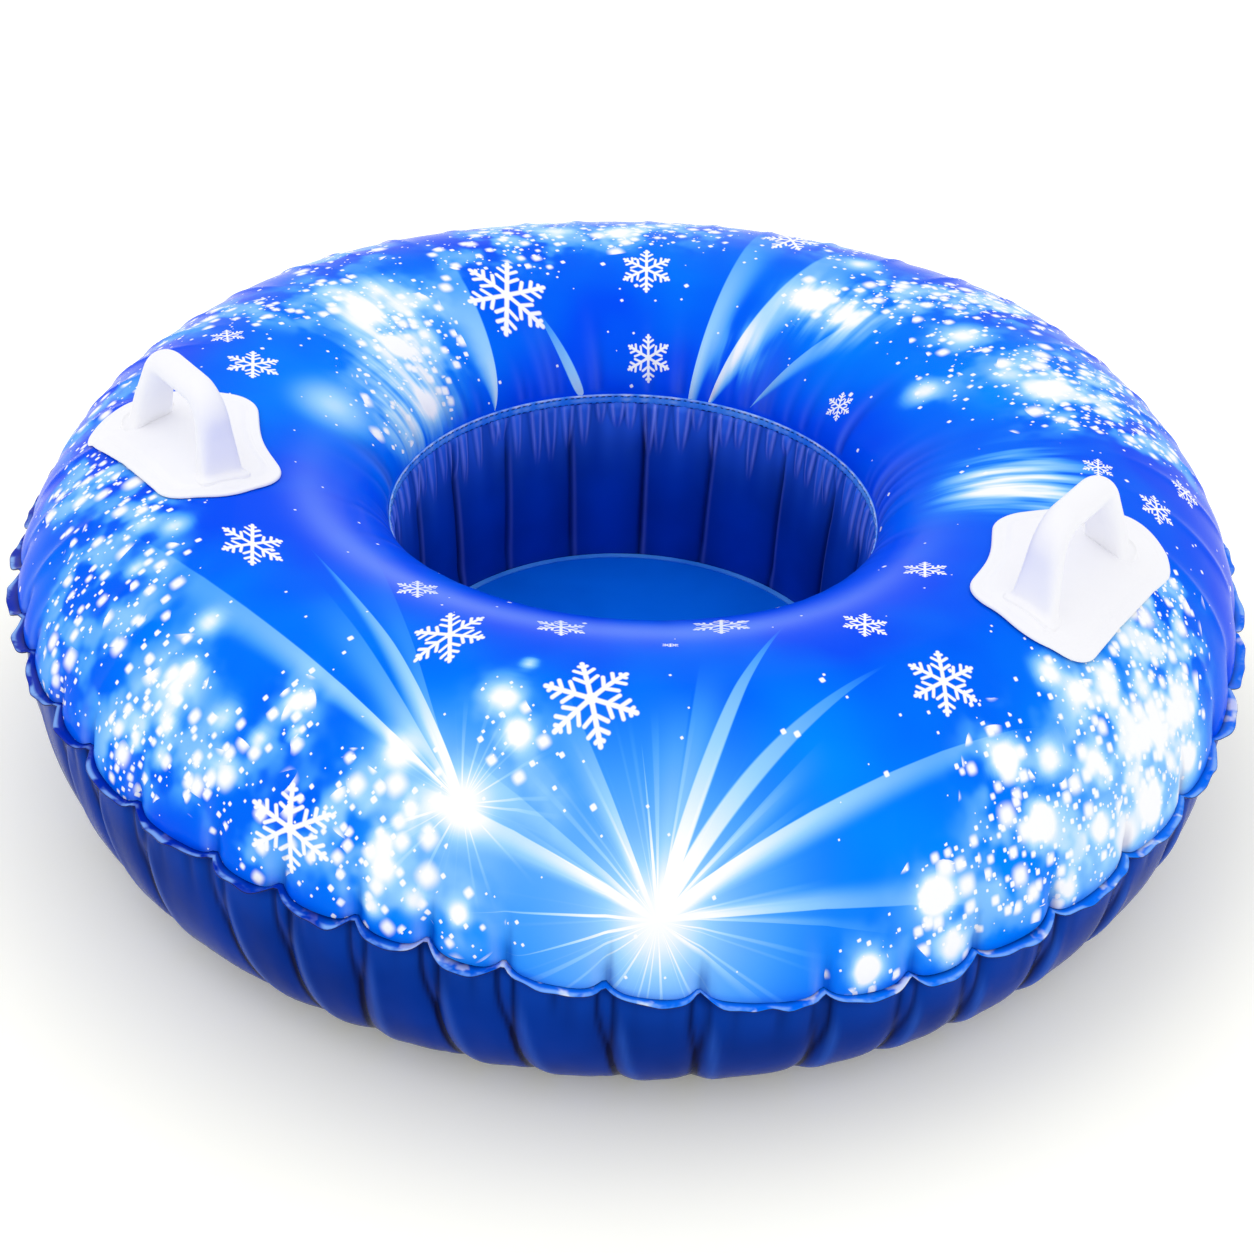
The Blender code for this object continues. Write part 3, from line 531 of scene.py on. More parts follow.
# Rays: burst, heading in degrees, bow, reach, half width, how the width grows and tapers, side of
# the crisp edge, brightness
RAYS = (
    (MAIN_BURST, (
        (81.2, 8, 314, 20, 0.5, 1.2, 0, 1), (62, 16.5, 301, 20, 0.5, 1, 0, 0.95),
        (57, 0, 200, 14.2, 1, 0, 1, 0.5), (44.3, 0, 385, 25.5, 0.5, 0.5, 1, 1.1),
        (25.5, -2, 300, 15.5, 0.6, 0, -1, 0.8), (17.5, 0, 210, 6.5, 1, 0, -1, 0.4),
        (87.5, 0, 230, 27, 1, 0, 1, 0.38), (102, 0, 180, 23, 1, 0, -1, 0.32),
        (133, 0, 190, 21, 1, 0, -1, 0.75), (159, 0, 210, 17.6, 1, 0, -1, 0.5),
        (168.5, 0, 230, 17, 0.7, 0, -1, 1.15), (110, 0, 130, 2.6, 0.3, 1, 0, 1),
        (-170.5, 0, 160, 2.6, 0.3, 1, 0, 1), (-154, 0, 140, 2.6, 0.3, 1, 0, 0.9),
        (-20, 0, 120, 6, 0.8, 0, 1, 0.5),
    )),
    (SIDE_BURST, (
        (149.5, 0, 470, 30, 1, 0, -1, 0.85), (139, 0, 280, 30, 1, 0, -1, 0.5),
        (130.5, -4, 345, 23, 0.5, 1.2, -1, 1), (125.5, 0, 360, 29, 1, 0, -1, 0.26),
    )),
    (BACK_BURST, ((77.5, 0, 340, 37, 1, 0, 1, 1),)),
    (BACK_RIGHT, ((57, 0, 300, 54, 0.9, 0, 1, 1.2),)),
    (BACK_EAST, ((34, 0, 190, 30, 1, 0, 1, 0.6),)),
    (BACK_THIN, ((138.4, 0, 105, 11, 0.3, 0.8, 0, 0.9),)),
    (BACK_WEST, ((138.7, 0, 200, 56, 0.9, 0, -1, 0.95),)),
)
NARROWEST_RAY = 0.4
# Fine rays round a burst: burst, how many, reach, seed
FINE_RAYS = ((MAIN_BURST, 30, 160, 0.0), (SIDE_BURST, 22, 85, 40.0))


def flat_field(flat, places):
    """Sum of soft round spots at the places."""
    total = np.zeros(flat.shape[:-1])
    for x, y, radius, weight in places:
        total += weight * np.exp(-((flat - (x, y)) ** 2).sum(-1) / radius ** 2)
    return total


# Shape of a snowflake, as shares of its half size
FLAKE_ARM = 0.052
FLAKE_TWIG = 0.043
FLAKE_CORE = 0.13
FLAKE_EDGE = 0.018
FLAKE_REACH = 1.25
FLAKE_FAR_OUT = 9.0
# Twigs of a snowflake's arm: where each leaves the arm, and how far along and across it ends
TWIGS = ((0.34, 0.52, 0.235), (0.60, 0.74, 0.200), (0.81, 0.86, 0.080))


def flake_places(corners):
    """Places in a flake's own frame for each face near one, and places far out for the others."""
    middles = corners.reshape(-1, 4, 2).mean(1)
    places = np.full_like(corners, FLAKE_FAR_OUT)
    for degrees, distance, half_ring, half_across, turn in FLAKES:
        angle = math.radians(degrees)
        outward = np.array((math.cos(angle), math.sin(angle)))
        around = np.array((-math.sin(angle), math.cos(angle)))
        shares = np.stack([around / half_ring, outward / half_across], 1)
        near = np.hypot(*((middles - outward * distance) @ shares).T) < FLAKE_REACH
        chosen = np.repeat(near, 4)
        cosine = math.cos(math.radians(turn))
        sine = math.sin(math.radians(turn))
        turned = np.array(((cosine, -sine), (sine, cosine)))
        places[chosen] = (corners[chosen] - outward * distance) @ shares @ turned
    return places


def snowflakes(nodes):
    """White six-armed snowflakes, from the distance to one arm and its twigs."""
    def far(first, second):
        return (first * first + second * second).root()

    def past(value, end):
        return value - value.least(end).most(0)

    x, y = nodes.split(nodes.uv("flake"))
    out = far(x, y)
    sector = math.pi / 3
    angle = nodes.math("WRAP", nodes.math("ARCTAN2", y, x), sector / 2, -sector / 2)
    along = out * angle.cosine()
    across = abs(out * angle.sine())
    arm = far(past(along, 1.0 - FLAKE_ARM), across) - FLAKE_ARM
    nearest = arm.least(out - FLAKE_CORE)
    for start, end, side in TWIGS:
        length = math.hypot(end - start, side)
        cosine = (end - start) / length
        sine = side / length
        shifted = along - start
        run = shifted * cosine + across * sine
        off = across * cosine - shifted * sine
        nearest = nearest.least(far(past(run, length), off) - FLAKE_TWIG)
    return nodes.rise(nearest, FLAKE_EDGE, -FLAKE_EDGE)


def ray(nodes, flat, burst, heading, bow, reach, half, grow, taper, side, bright):
    """One beam of light out of a burst, with a crisp edge on one side or both."""
    sine = math.sin(math.radians(heading))
    cosine = math.cos(math.radians(heading))
    offset = nodes.vector("SUBTRACT", flat, (*burst, 0))
    share = nodes.vector("DOT_PRODUCT", offset, (cosine / reach, sine / reach, 0))
    ahead = share.most(0.0)
    left = (1.0 - ahead).clamped()
    across = nodes.vector("DOT_PRODUCT", offset, (-sine, cosine, 0))
    if bow:
        across = across - ahead * left * (4 * bow)
    width = ahead ** grow * half
    if taper:
        width = width * left ** taper
    off = across / width.most(NARROWEST_RAY)
    if side:
        off = off * side
        level = nodes.rise(off, 1.03, 0.93) * nodes.rise(off, -1.1, 0.7)
    else:
        level = nodes.rise(abs(off), 1.05, 0.75)
    return level * (left * bright) * nodes.math("GREATER_THAN", share, 0.0)


def spikes(nodes, flat, burst, count, reach, seed):
    """Many fine uneven rays round one point."""
    offset = nodes.vector("SUBTRACT", flat, (*burst, 0))
    x, y = nodes.split(offset)
    turn = nodes.math("ARCTAN2", y, x) * (count / 6) + seed
    wave = nodes.add("TexNoise", "Fac", {"W": turn, "Detail": 0.0, "Scale": 3.0}, noise_dimensions="1D")
    fade = (1.0 - nodes.vector("LENGTH", offset) / reach).clamped()
    return nodes.rise(wave, 0.58, 0.78) * fade ** 1.3


ROYAL = srgb(0, 78, 246)
AZURE_BLUE = srgb(0, 140, 255)
# Colour of the painted shade on the print
PAINTED_SHADE_BLUE = srgb(0, 40, 150)
LIT_BLUE = srgb(14, 146, 255)
PALE_BLUE = srgb(160, 216, 255)
# Colour of the painted highlights and painted reflection on the print
PAINTED_SHEEN_LILAC = srgb(150, 186, 255)
WHITE = srgb(252, 253, 255)
# Layers of printed snow: cells per metre, largest radius in metres, softness, how common where snow
# lies, how common elsewhere, pointedness, seed
DOTS = (
    (31.0, 0.0145, 0.75, 0.95, -0.08, 1.60, 0.37), (39.0, 0.0105, 0.75, 0.90, -0.08, 1.50, 3.61),
    (52.0, 0.0076, 0.65, 0.75, -0.08, 1.40, 1.91), (90.0, 0.0040, 0.45, 0.50, 0.01, 1.30, 5.13),
    (140.0, 0.0021, 0.50, 0.35, 0.01, 1.30, 7.77),
)


def lit(nodes, level, colour):
    """Light on the print: azure where it is weak, then pale blue, then white."""
    colour = nodes.mix(nodes.rise(level, 0.0, 0.30), colour, LIT_BLUE)
    colour = nodes.mix(nodes.rise(level, 0.02, 0.85), colour, PALE_BLUE)
    return nodes.mix(nodes.rise(level, 0.60, 1.30), colour, WHITE)


def printed_vinyl():
    nodes = Nodes(bpy.data.materials.new("printed_vinyl"))
    flat = nodes.uv("print")
    patch = nodes.noise(flat, 7.0, flat=True) * 0.9 - 0.45
    colour = nodes.mix((nodes.field("azure") + patch).clamped(), ROYAL, AZURE_BLUE)

    in_millimetres = nodes.vector("SCALE", flat, 1 / MM)
    light = 0.0
    for burst, rays in RAYS:
        for shape in rays:
            light = nodes.math("MAXIMUM", light, ray(nodes, in_millimetres, burst, *shape))
    fine, others = [spikes(nodes, in_millimetres, *places) for places in FINE_RAYS]
    x, y = nodes.split(flat)
    turned = {0: nodes.math("ARCTAN2", y, x) * 3.0, 1: nodes.vector("LENGTH", flat)}
    streaks = nodes.rise(nodes.noise(nodes.add("CombineXYZ", 0, turned), 7.0, 2.5), 0.32, 0.66)
    snow = nodes.field("snow").least(1.6)
    haze = nodes.rise(nodes.noise(flat, 24.0, flat=True), 0.34, 0.68) * snow
    light = light + nodes.field("glow") + streaks * nodes.field("patch")
    light = light + fine.most(others) * 0.45 + haze * 0.66
    colour = lit(nodes, light, colour)

    snow = snow.least(1.0)
    cover = 0.0
    for scale, size, soft, common, stray, points, seed in DOTS:
        distance, chance, grown = nodes.spots(flat, scale, points, seed)
        there = nodes.math("LESS_THAN", chance, snow * common + stray)
        reach = (grown * 0.65 + 0.35) * (size * scale)
        dot = nodes.rise(distance / reach, 1.0, 1.0 - soft)
        cover = nodes.math("MAXIMUM", cover, dot * there)
    colour = nodes.mix(cover, colour, WHITE)
    colour = nodes.mix(snowflakes(nodes), colour, WHITE)
    # Painted shade at the pinches and in the wrinkles, then painted highlights and a painted reflection
    colour = nodes.mix((nodes.field("shade") * 0.7).clamped(), colour, PAINTED_SHADE_BLUE)
    colour = nodes.mix((nodes.field("sheen") * 0.6).clamped(), colour, PAINTED_SHEEN_LILAC)
    smear = nodes.noise(nodes.place(), 30.0, 4.0) * 0.14 + 0.12
    return nodes.finished(colour, smear, 0.015, (60.0, 3.0, 0.25, 0.0005))


# Skins

# Valleys of the top skin at the pinches. HALF is half a width where a fold starts, FLARE how much it
# widens for each metre away, REACH how far it runs out, ASIDE how far beside the fold it lies.
VALLEY_DEPTH = 0.010
VALLEY_HALF = 0.0065
VALLEY_FLARE = 0.10
VALLEY_REACH = 0.030
HOLLOW_SHARE = 0.16
HOLLOW_HALF = 0.020
HOLLOW_REACH = 0.07
# WEDGE sizes a wedge of painted shade at each pinch, GLEAM a line of painted highlight beside each fold
WEDGE_HALF = 0.0040
WEDGE_ASIDE = 0.002
WEDGE_REACH = 0.028
GLEAM_HALF = 0.0030
GLEAM_FLARE = 0.05
GLEAM_ASIDE = 0.007
GLEAM_REACH = 0.035
# Wrinkles of the top skin at the rim, and how dark their painted shade and how bright the painted
# highlight beside them are drawn for each metre of depth
WRINKLES = 110
WRINKLE_LENGTHS = (0.02, 0.07)
WRINKLE_DEPTHS = (0.0003, 0.0011)
WRINKLE_HALF = 0.0026
WRINKLE_FLARE = 0.04
WRINKLE_SHADE = 350
WRINKLE_GLEAM = 160
# Folds of the bottom skin at the pinches, with a ridge in the middle and a crest beside
FOLD_DEPTH = 0.014
FOLD_HALF = 0.0075
FOLD_FLARE = 0.012
FOLD_REACH = 0.055
FOLD_END_SHARE = 0.22
RIDGE_SHARE = 0.80
RIDGE_HALF = 0.0042
CREST_SHARE = 0.30
CREST_HALF = 0.006
CREST_FLARE = 0.03
CREST_ASIDE = 0.012
# Painted shade along both edges of each fold (EDGE), and a painted highlight beside its crest (SHEEN)
EDGE_HALF = 0.0020
EDGE_FLARE = 0.010
EDGE_ASIDE = 0.0064
SHEEN_HALF = 0.0028
SHEEN_FLARE = 0.02
SHEEN_ASIDE = 0.0105
FINE_FOLDS = 3 * PLEATS
FINE_FOLD_LENGTHS = (0.02, 0.05)
FINE_FOLD_DEPTHS = (0.0004, 0.0014)
FINE_FOLD_HALF = 0.0022
FINE_FOLD_FLARE = 0.08
# How dark the painted shade in the fine folds is for each metre of depth
FINE_FOLD_SHADE = 260
# The broad pale band of painted reflection on the front of the ring: its middle, half width and distance
# from the rim
BAND_MIDDLE = math.radians(266)
BAND_HALF = math.radians(66)
BAND_FROM_RIM = 0.125


def scattered(count, lengths, depths):
    """Angle, length and depth of each of many small creases."""
    places = random.uniform(0, math.tau, count)
    return zip(places, random.uniform(*lengths, count), random.uniform(*depths, count))


def upper_skin(finish):
    shares = shares_in((0, 0.13, 33), (0.13, 0.965, 65), (0.965, 1, 7))
    radius, height, run = skin_arrays(upper_profile, COLUMNS, shares)
    angle = COLUMNS[:, None]
    to_rim = run[:, -1:] - run
    out_radius, out_height = out_of_skin(radius, height)

    def valley(across, away):
        deep = bell(across, VALLEY_HALF + VALLEY_FLARE * away, 1.5) * bell(away, VALLEY_REACH, 1.5)
        hollow = bell(across, HOLLOW_HALF) * bell(away, HOLLOW_REACH) * soft_step(0, 0.01, away)
        return deep + HOLLOW_SHARE * hollow

    # Painted shade: a dark wedge down from each pinch
    def wedge_shade(across, away):
        wide = WEDGE_HALF * (1 - 0.6 * soft_step(0, 0.04, away))
        return bell(across - WEDGE_ASIDE, wide, 1.6) * bell(away, WEDGE_REACH)

    # Painted highlight: a light line beside each fold
    def beside(across, away):
        shifted = across + GLEAM_ASIDE + 0.1 * away
        return bell(shifted, GLEAM_HALF + GLEAM_FLARE * away) * bell(away, GLEAM_REACH)

    at_seam = bell(run, 0.007)
    sink = PINCH_DEPTH * (1 - lobe(angle)) * at_seam
    sink = sink + VALLEY_DEPTH * gathered(angle, radius, run, valley) * (1 - at_seam)
    swell = 0.0012 * np.sin(3 * angle + 0.5) + 0.0008 * np.sin(8 * angle + 2) * np.sin(9 * run)
    swell = swell * soft_step(0, 0.05, run) * soft_step(0, 0.05, to_rim)
    creases = np.zeros_like(run)
    gleams = np.zeros_like(run)
    wide = WRINKLE_HALF + WRINKLE_FLARE * to_rim
    for place, length, depth in scattered(WRINKLES, WRINKLE_LENGTHS, WRINKLE_DEPTHS):
        across = wrapped(angle - place) * radius
        near_rim = depth * bell(to_rim, length) * soft_step(0.004, 0.012, to_rim)
        creases += bell(across, wide, 1.6) * near_rim
        gleams += bell(across - 1.6 * wide, wide, 1.6) * near_rim
    shift = swell - sink - creases
    item = ring_mesh("printed_top", COLUMNS, radius + shift * out_radius, height + shift * out_height)
    spread = RIM_RADIUS + to_rim
    flat = np.stack([spread * np.cos(angle), spread * np.sin(angle)], -1)
    corners = at_corners(item, flat)
    add_uv(item, "print", corners)
    add_uv(item, "flake", flake_places(corners / MM))
    for name, places in (("snow", SNOW), ("azure", AZURE), ("glow", GLOWS), ("patch", PATCHES)):
        add_field(item, name, flat_field(flat / MM, places))
    # Painted shade in the wedges and along the wrinkles
    add_field(item, "shade", gathered(angle, radius, run, wedge_shade) + WRINKLE_SHADE * creases)
    # Painted reflection: a pale band on the well's slope along the front of the ring
    front = bell(wrapped(angle - BAND_MIDDLE), BAND_HALF, 4)
    painted_reflection_band = 0.55 * bell(to_rim - BAND_FROM_RIM + 0.035 * (1 - front), 0.020) * front
    # Painted highlights beside the folds and the wrinkles, with the painted reflection band
    sheen = 0.5 * gathered(angle, radius, run, beside) + WRINKLE_GLEAM * gleams + painted_reflection_band
    add_field(item, "sheen", sheen)
    stand_in(item, finish, "upper_skin")


def lower_skin(finish):
    shares = shares_in((0, 0.42, 17), (0.42, 0.93, 55), (0.93, 1, 15))
    radius, height, run = skin_arrays(lower_profile, COLUMNS, shares)
    angle = COLUMNS[:, None]
    below = run[:, -1:] - run
    out_radius, out_height = out_of_skin(radius, height)

    def valley(across, away):
        fold = bell(across, FOLD_HALF + FOLD_FLARE * away, 1.1)
        ridge = RIDGE_SHARE * bell(across, RIDGE_HALF) * (1 - soft_step(0.02, 0.07, away))
        crest = bell(across - CREST_ASIDE - CREST_FLARE * away, CREST_HALF + CREST_FLARE * away)
        crest = CREST_SHARE * crest * soft_step(0.01, 0.05, away)
        fading = FOLD_END_SHARE + (1 - FOLD_END_SHARE) * np.exp(-away / FOLD_REACH)
        return (fold - ridge - crest) * fading

    # Painted shade: dark lines along both edges of a fold
    def crease_shade(across, away):
        apart = EDGE_ASIDE * (1 - soft_step(0.02, 0.09, away))
        wide = EDGE_HALF + EDGE_FLARE * away
        return bell(across - apart, wide) + bell(across + apart, wide)

    # Painted highlight: a light line beside a fold's crest
    def sheen(across, away):
        shifted = across - SHEEN_ASIDE - CREST_FLARE * away
        return bell(shifted, SHEEN_HALF + SHEEN_FLARE * away) * soft_step(0.012, 0.05, away)

    at_seam = bell(below, 0.005)
    sink = PINCH_DEPTH * (1 - lobe(angle)) * at_seam
    sink = sink + FOLD_DEPTH * gathered(angle, radius, below, valley) * (1 - at_seam)
    fine = np.zeros_like(run)
    for place, length, depth in scattered(FINE_FOLDS, FINE_FOLD_LENGTHS, FINE_FOLD_DEPTHS):
        across = wrapped(angle - place) * radius
        fine += depth * bell(across, FINE_FOLD_HALF + FINE_FOLD_FLARE * below, 1.6) * bell(below, length)
    fine *= soft_step(0, 0.004, below)
    section = lower_profile(VALVE_ANGLE)[-PROFILE_STEPS:]
    valve_radius = np.interp(VALVE_HEIGHT, section[:, 1], section[:, 0])
    aside = 2 * valve_radius * np.sin(wrapped(angle - VALVE_ANGLE) / 2)
    from_valve = np.sqrt(aside ** 2 + (radius - valve_radius) ** 2 + (height - VALVE_HEIGHT) ** 2)
    at_valve = bell(from_valve, VALVE_FLAT_RADIUS, 5)
    fade = soft_step(SOLE_OUTER_RADIUS - 0.04, SOLE_OUTER_RADIUS + 0.03, radius) * (1 - at_valve)
    shift = -(sink + fine) * fade - VALVE_DIMPLE * at_valve
    above_ground = np.maximum(height + shift * out_height, 0)
    item = ring_mesh("navy_bottom", COLUMNS, radius + shift * out_radius, above_ground,
                     hole=from_valve < VALVE_HOLE_RADIUS)
    # Painted shade in the creases, and painted highlights beside the crests, stronger at the left and right
    shade = gathered(angle, radius, below, crease_shade) + FINE_FOLD_SHADE * fine
    add_field(item, "shade", shade * fade)
    sheen_at_sides = 0.35 + 0.65 * np.abs(np.cos(angle))
    add_field(item, "sheen", gathered(angle, radius, below, sheen) * fade * sheen_at_sides)
    # Painted light: a lighter band just below the outer seam
    add_field(item, "light", 0.35 * bell(below, 0.03) * (1 - bell(below, 0.008)))
    stand_in(item, finish, "lower_skin")


def welded_vinyl():
    """The flange: printed vinyl above, dark on the left and azure on the right, and navy below."""
    nodes = Nodes(bpy.data.materials.new("welded_vinyl"))
    place = nodes.place()
    streak = nodes.noise(place, 48.0, 3.0)
    side = nodes.rise(streak * 0.5 + nodes.split(place)[0], -0.05, 0.45)
    colour = nodes.mix(side, srgb(0, 46, 176), srgb(4, 122, 248))
    # Painted highlight: pale streaks near the flange's outer edge
    colour = nodes.mix(nodes.field("rim") * nodes.rise(streak, 0.42, 0.58), colour, srgb(150, 200, 255))
    white = nodes.rise(nodes.noise(place, 36.0, 3.0), 0.56, 0.64) * side
    colour = nodes.mix(white * 0.8, colour, WHITE)
    # Painted shade along the flange's root, where it meets the skins
    colour = nodes.mix(nodes.field("root") * 0.75, colour, srgb(0, 20, 96))
    # Underside: a navy darker than the bottom sheet's, partly painted shade
    colour = nodes.mix(nodes.field("top"), srgb(0, 18, 84), colour)
    return nodes.finished(colour, 0.16, 0.12, (110.0, 2.0, 0.4, 0.0006))


# Section of the flange from root to rim: share of the width, and share of half the thickness
FLANGE_SHARES = ((0, 1), (0.25, 1), (0.45, 1), (0.62, 1), (0.78, 1), (0.9, 1), (0.97, 0.8), (1, 0.35))


def outer_seam(finish):
    """The flange: two welded edges, pinched at each pleat and crinkled along its rim."""
    centre = seam_radius(COLUMNS)[:, None]
    level = seam_height(COLUMNS)[:, None]
    angle = COLUMNS[:, None]
    lobes = lobe(COLUMNS)[:, None]
    out, half = np.transpose(FLANGE_SHARES)
    across = np.concatenate([out, out[::-1]])[None, :]
    side = np.concatenate([-half, half[::-1]])[None, :]
    width = FLANGE_WIDTH + VINYL + FLANGE_TUCK + 0.55 * FLANGE_LOBE * lobes
    crinkle = 0.0010 * np.sin(83 * angle + 1.5 * np.sin(17 * angle)) + 0.0006 * np.sin(151 * angle + 2)
    droop = 0.0008 * lobes + 0.0010 * np.sin(37 * angle + 0.7)
    edge = 0.0005 * np.sin(131 * angle) + 0.0005 * np.sin(67 * angle + 1)
    radius = centre - VINYL - FLANGE_TUCK + (width + edge) * across
    height = level + side * FLANGE_THICKNESS / 2 + (crinkle + droop) * across ** 1.5
    item = ring_mesh("welded_seam", COLUMNS, radius, height, closed_section=True)
    add_field(item, "top", np.broadcast_to(side > 0.5, radius.shape))
    # Where the painted highlight lies, near the outer edge
    add_field(item, "rim", np.broadcast_to(bell(across - 0.84, 0.12), radius.shape))
    # Where the painted shade lies, along the root
    add_field(item, "root", np.broadcast_to(1 - soft_step(0.30, 0.55, across), radius.shape))
    stand_in(item, finish, "outer_seam")


WALL_COLUMNS = 1056
WALL_ANGLES = np.arange(WALL_COLUMNS) * math.tau / WALL_COLUMNS
WALL_HOLLOW = 0.004
# Creases of the well's wall that the photograph shows, in degrees, and the number out of sight
SEEN_CREASES = (41, 59.8, 81.3, 99, 118.5, 137, 154, 171)
HIDDEN_CREASES = 12
CREASE_DEPTH = 0.0050
CREASE_SWELL = 0.0025
# Depth of a crease at which its painted shade is full
DARKEST_CREASE = 0.0078
GATHERS = 84
GATHER_LENGTHS = (0.028, 0.070)
GATHER_DEPTHS = (0.0018, 0.0038)
GATHER_WIDTH = 0.0064
# Half width of the painted highlight and painted shade lines along each gather, and how bright and dark
# they are for each metre of its depth
GATHER_LINE = 0.0012
GATHER_GLEAM = 560
GATHER_SHADE = 110


def inner_wall(finish):
    angle = WALL_ANGLES[:, None]
    rows = shares_in((0, 0.3, 27), (0.3, 1, 25))[None, :]
    top = RIM_HEIGHT - GAP / 2
    bottom = FLOOR_HEIGHT + GAP
    height = np.broadcast_to(top + (bottom - top) * rows, (WALL_COLUMNS, rows.size))
    down = (top - bottom) * rows
    creases = np.zeros(height.shape)
    edges = np.zeros(height.shape)
    gap = (SEEN_CREASES[0] + 360 - SEEN_CREASES[-1]) / (HIDDEN_CREASES + 1)
    unseen = [SEEN_CREASES[-1] + gap * (place + 1) for place in range(HIDDEN_CREASES)]
    for place in SEEN_CREASES + tuple(unseen):
        share = random.uniform(0.8, 1.1)
        lean = random.uniform(-0.04, 0.04)
        across = wrapped(angle - math.radians(place)) * RIM_RADIUS + lean * (down - 0.1)
        fold = CREASE_DEPTH * bell(across, 0.0018 + 0.004 * down, 1.2) * soft_step(0.0, 0.03, down)
        swell = CREASE_SWELL * bell(across, 0.020) * soft_step(0.02, 0.06, down)
        creases += share * (fold + swell)
        # Painted highlight: a light line beside each crease
        line = bell(across + 0.0038 + 0.005 * down, 0.0012 + 0.006 * down)
        edges += 0.4 * share * line * soft_step(0.01, 0.06, down)
    # Painted shade in the creases
    dark = creases / DARKEST_CREASE
    creases *= 1 - 0.8 * soft_step(0.85, 1, rows)
    gathers = np.zeros(height.shape)
    hollow_shade = np.zeros(height.shape)
    for fold in range(GATHERS):
        place = math.tau / GATHERS * (fold + random.uniform(-0.25, 0.25))
        length = random.uniform(*GATHER_LENGTHS)
        size = random.uniform(*GATHER_DEPTHS)
        width = GATHER_WIDTH * random.uniform(0.7, 1.2)
        narrow = width * np.sqrt(np.clip(1 - down / length, 0.02, 1))
        across = wrapped(angle - place) * RIM_RADIUS
        held = size * soft_step(0.001, 0.009, down) * soft_step(length, length * 0.5, down)
        gathers += bell(across, narrow, 2.4) * held
        # Painted highlights round each gather, and painted shade just outside it
        edges += GATHER_GLEAM * bell(np.abs(across + GATHER_LINE / 3) - 0.80 * narrow, GATHER_LINE) * held
        hollow_shade += GATHER_SHADE * bell(np.abs(across) - 1.5 * narrow, GATHER_LINE) * held
    radius = RIM_RADIUS + (FLOOR_RADIUS - RIM_RADIUS) * rows - WALL_HOLLOW * np.sin(math.pi * rows)
    item = ring_mesh("well_wall", WALL_ANGLES, radius + creases - gathers, height)
    # Painted shade in creases and beside gathers; painted highlights along them
    add_field(item, "shade", dark + hollow_shade)
    add_field(item, "sheen", 0.6 * edges)
    # Painted light: the top of the wall drawn lighter, a little uneven round the ring
    add_field(item, "light", bell(down, 0.050) * (0.60 + 0.25 * np.sin(41 * angle) * np.sin(17 * angle)))
    stand_in(item, finish, "inner_wall")


# Face of the rim's weld strip from its lower to its upper edge: share of the width, and where it is
# pressed in
STRIP_SHARES = ((0, 0), (0.06, 1), (0.2, 0), (0.35, 0), (0.5, 0), (0.65, 0), (0.72, 1), (0.78, 1), (0.85, 0),
                (0.94, 0), (1, 0))
STRIP_GROOVE = 0.0006


def inner_seam(finish):
    """The weld strip round the rim, with the dashes of its weld line."""
    def closed(face, back):
        """The strip's face and its two back edges as one closed section."""
        return np.concatenate([face, np.broadcast_to(back, (WALL_COLUMNS, 2))], 1)[:, ::-1]

    angle = WALL_ANGLES[:, None]
    outer = RIM_RADIUS - GAP
    inner = outer - RIM_STRIP_THICKNESS
    low = RIM_HEIGHT - RIM_STRIP_WIDTH / 2
    share, groove = np.transpose(STRIP_SHARES)[:, None, :]
    dash = groove * soft_step(-0.2, 0.2, np.sin(220 * angle))
    ripple = 0.00025 * np.sin(97 * angle + 2 * np.sin(13 * angle)) + 0.0002 * np.sin(301 * angle)
    face = inner + ripple + STRIP_GROOVE * dash
    face[:, [0, -1]] = inner + STRIP_GROOVE
    height = closed(low + RIM_STRIP_WIDTH * share + 0 * angle, (low + RIM_STRIP_WIDTH, low))
    item = ring_mesh("rim_strip", WALL_ANGLES, closed(face, outer), height, closed_section=True)
    # Uneven strength of the painted highlights along the strip
    waves = np.sin(23 * angle + 3 * np.sin(5 * angle)) * np.sin(57 * angle + 2 * np.sin(11 * angle))
    gloss = 0.5 + 0.5 * waves
    # Painted shade in the dashes and along the lower edge; painted highlights near the upper edge and in the
    # middle
    add_field(item, "shade", closed(dash + bell(share, 0.05), 0))
    add_field(item, "light", closed(bell(share - 0.90, 0.08) * gloss, 0))
    add_field(item, "sheen", closed(0.8 * bell(share - 0.45, 0.16) * gloss ** 2, 0))
    stand_in(item, finish, "inner_seam")


# Handles

PLATE_FRONT = 0.098
PLATE_POINT = 0.134
PLATE_END_SHIFT = 0.009
PLATE_SHOULDER = 0.086
PLATE_OUTER_SHOULDER = 0.074
PLATE_INNER_HALF = 0.052
PLATE_OUTER_HALF = 0.054
PLATE_PEAK = 0.045
PLATE_PEAK_HALF = 0.094
PLATE_BACK = 0.108
PLATE_BACK_HALF = 0.046
PLATE_CORNER = 0.032
PLATE_ROUND_CORNER = 0.046
PLATE_HOLLOW = 0.008
PLATE_THICKNESS = 0.0022
PLATE_EDGE = 0.0006
PLATE_LIP = 0.0020
PLATE_STEPS = 320
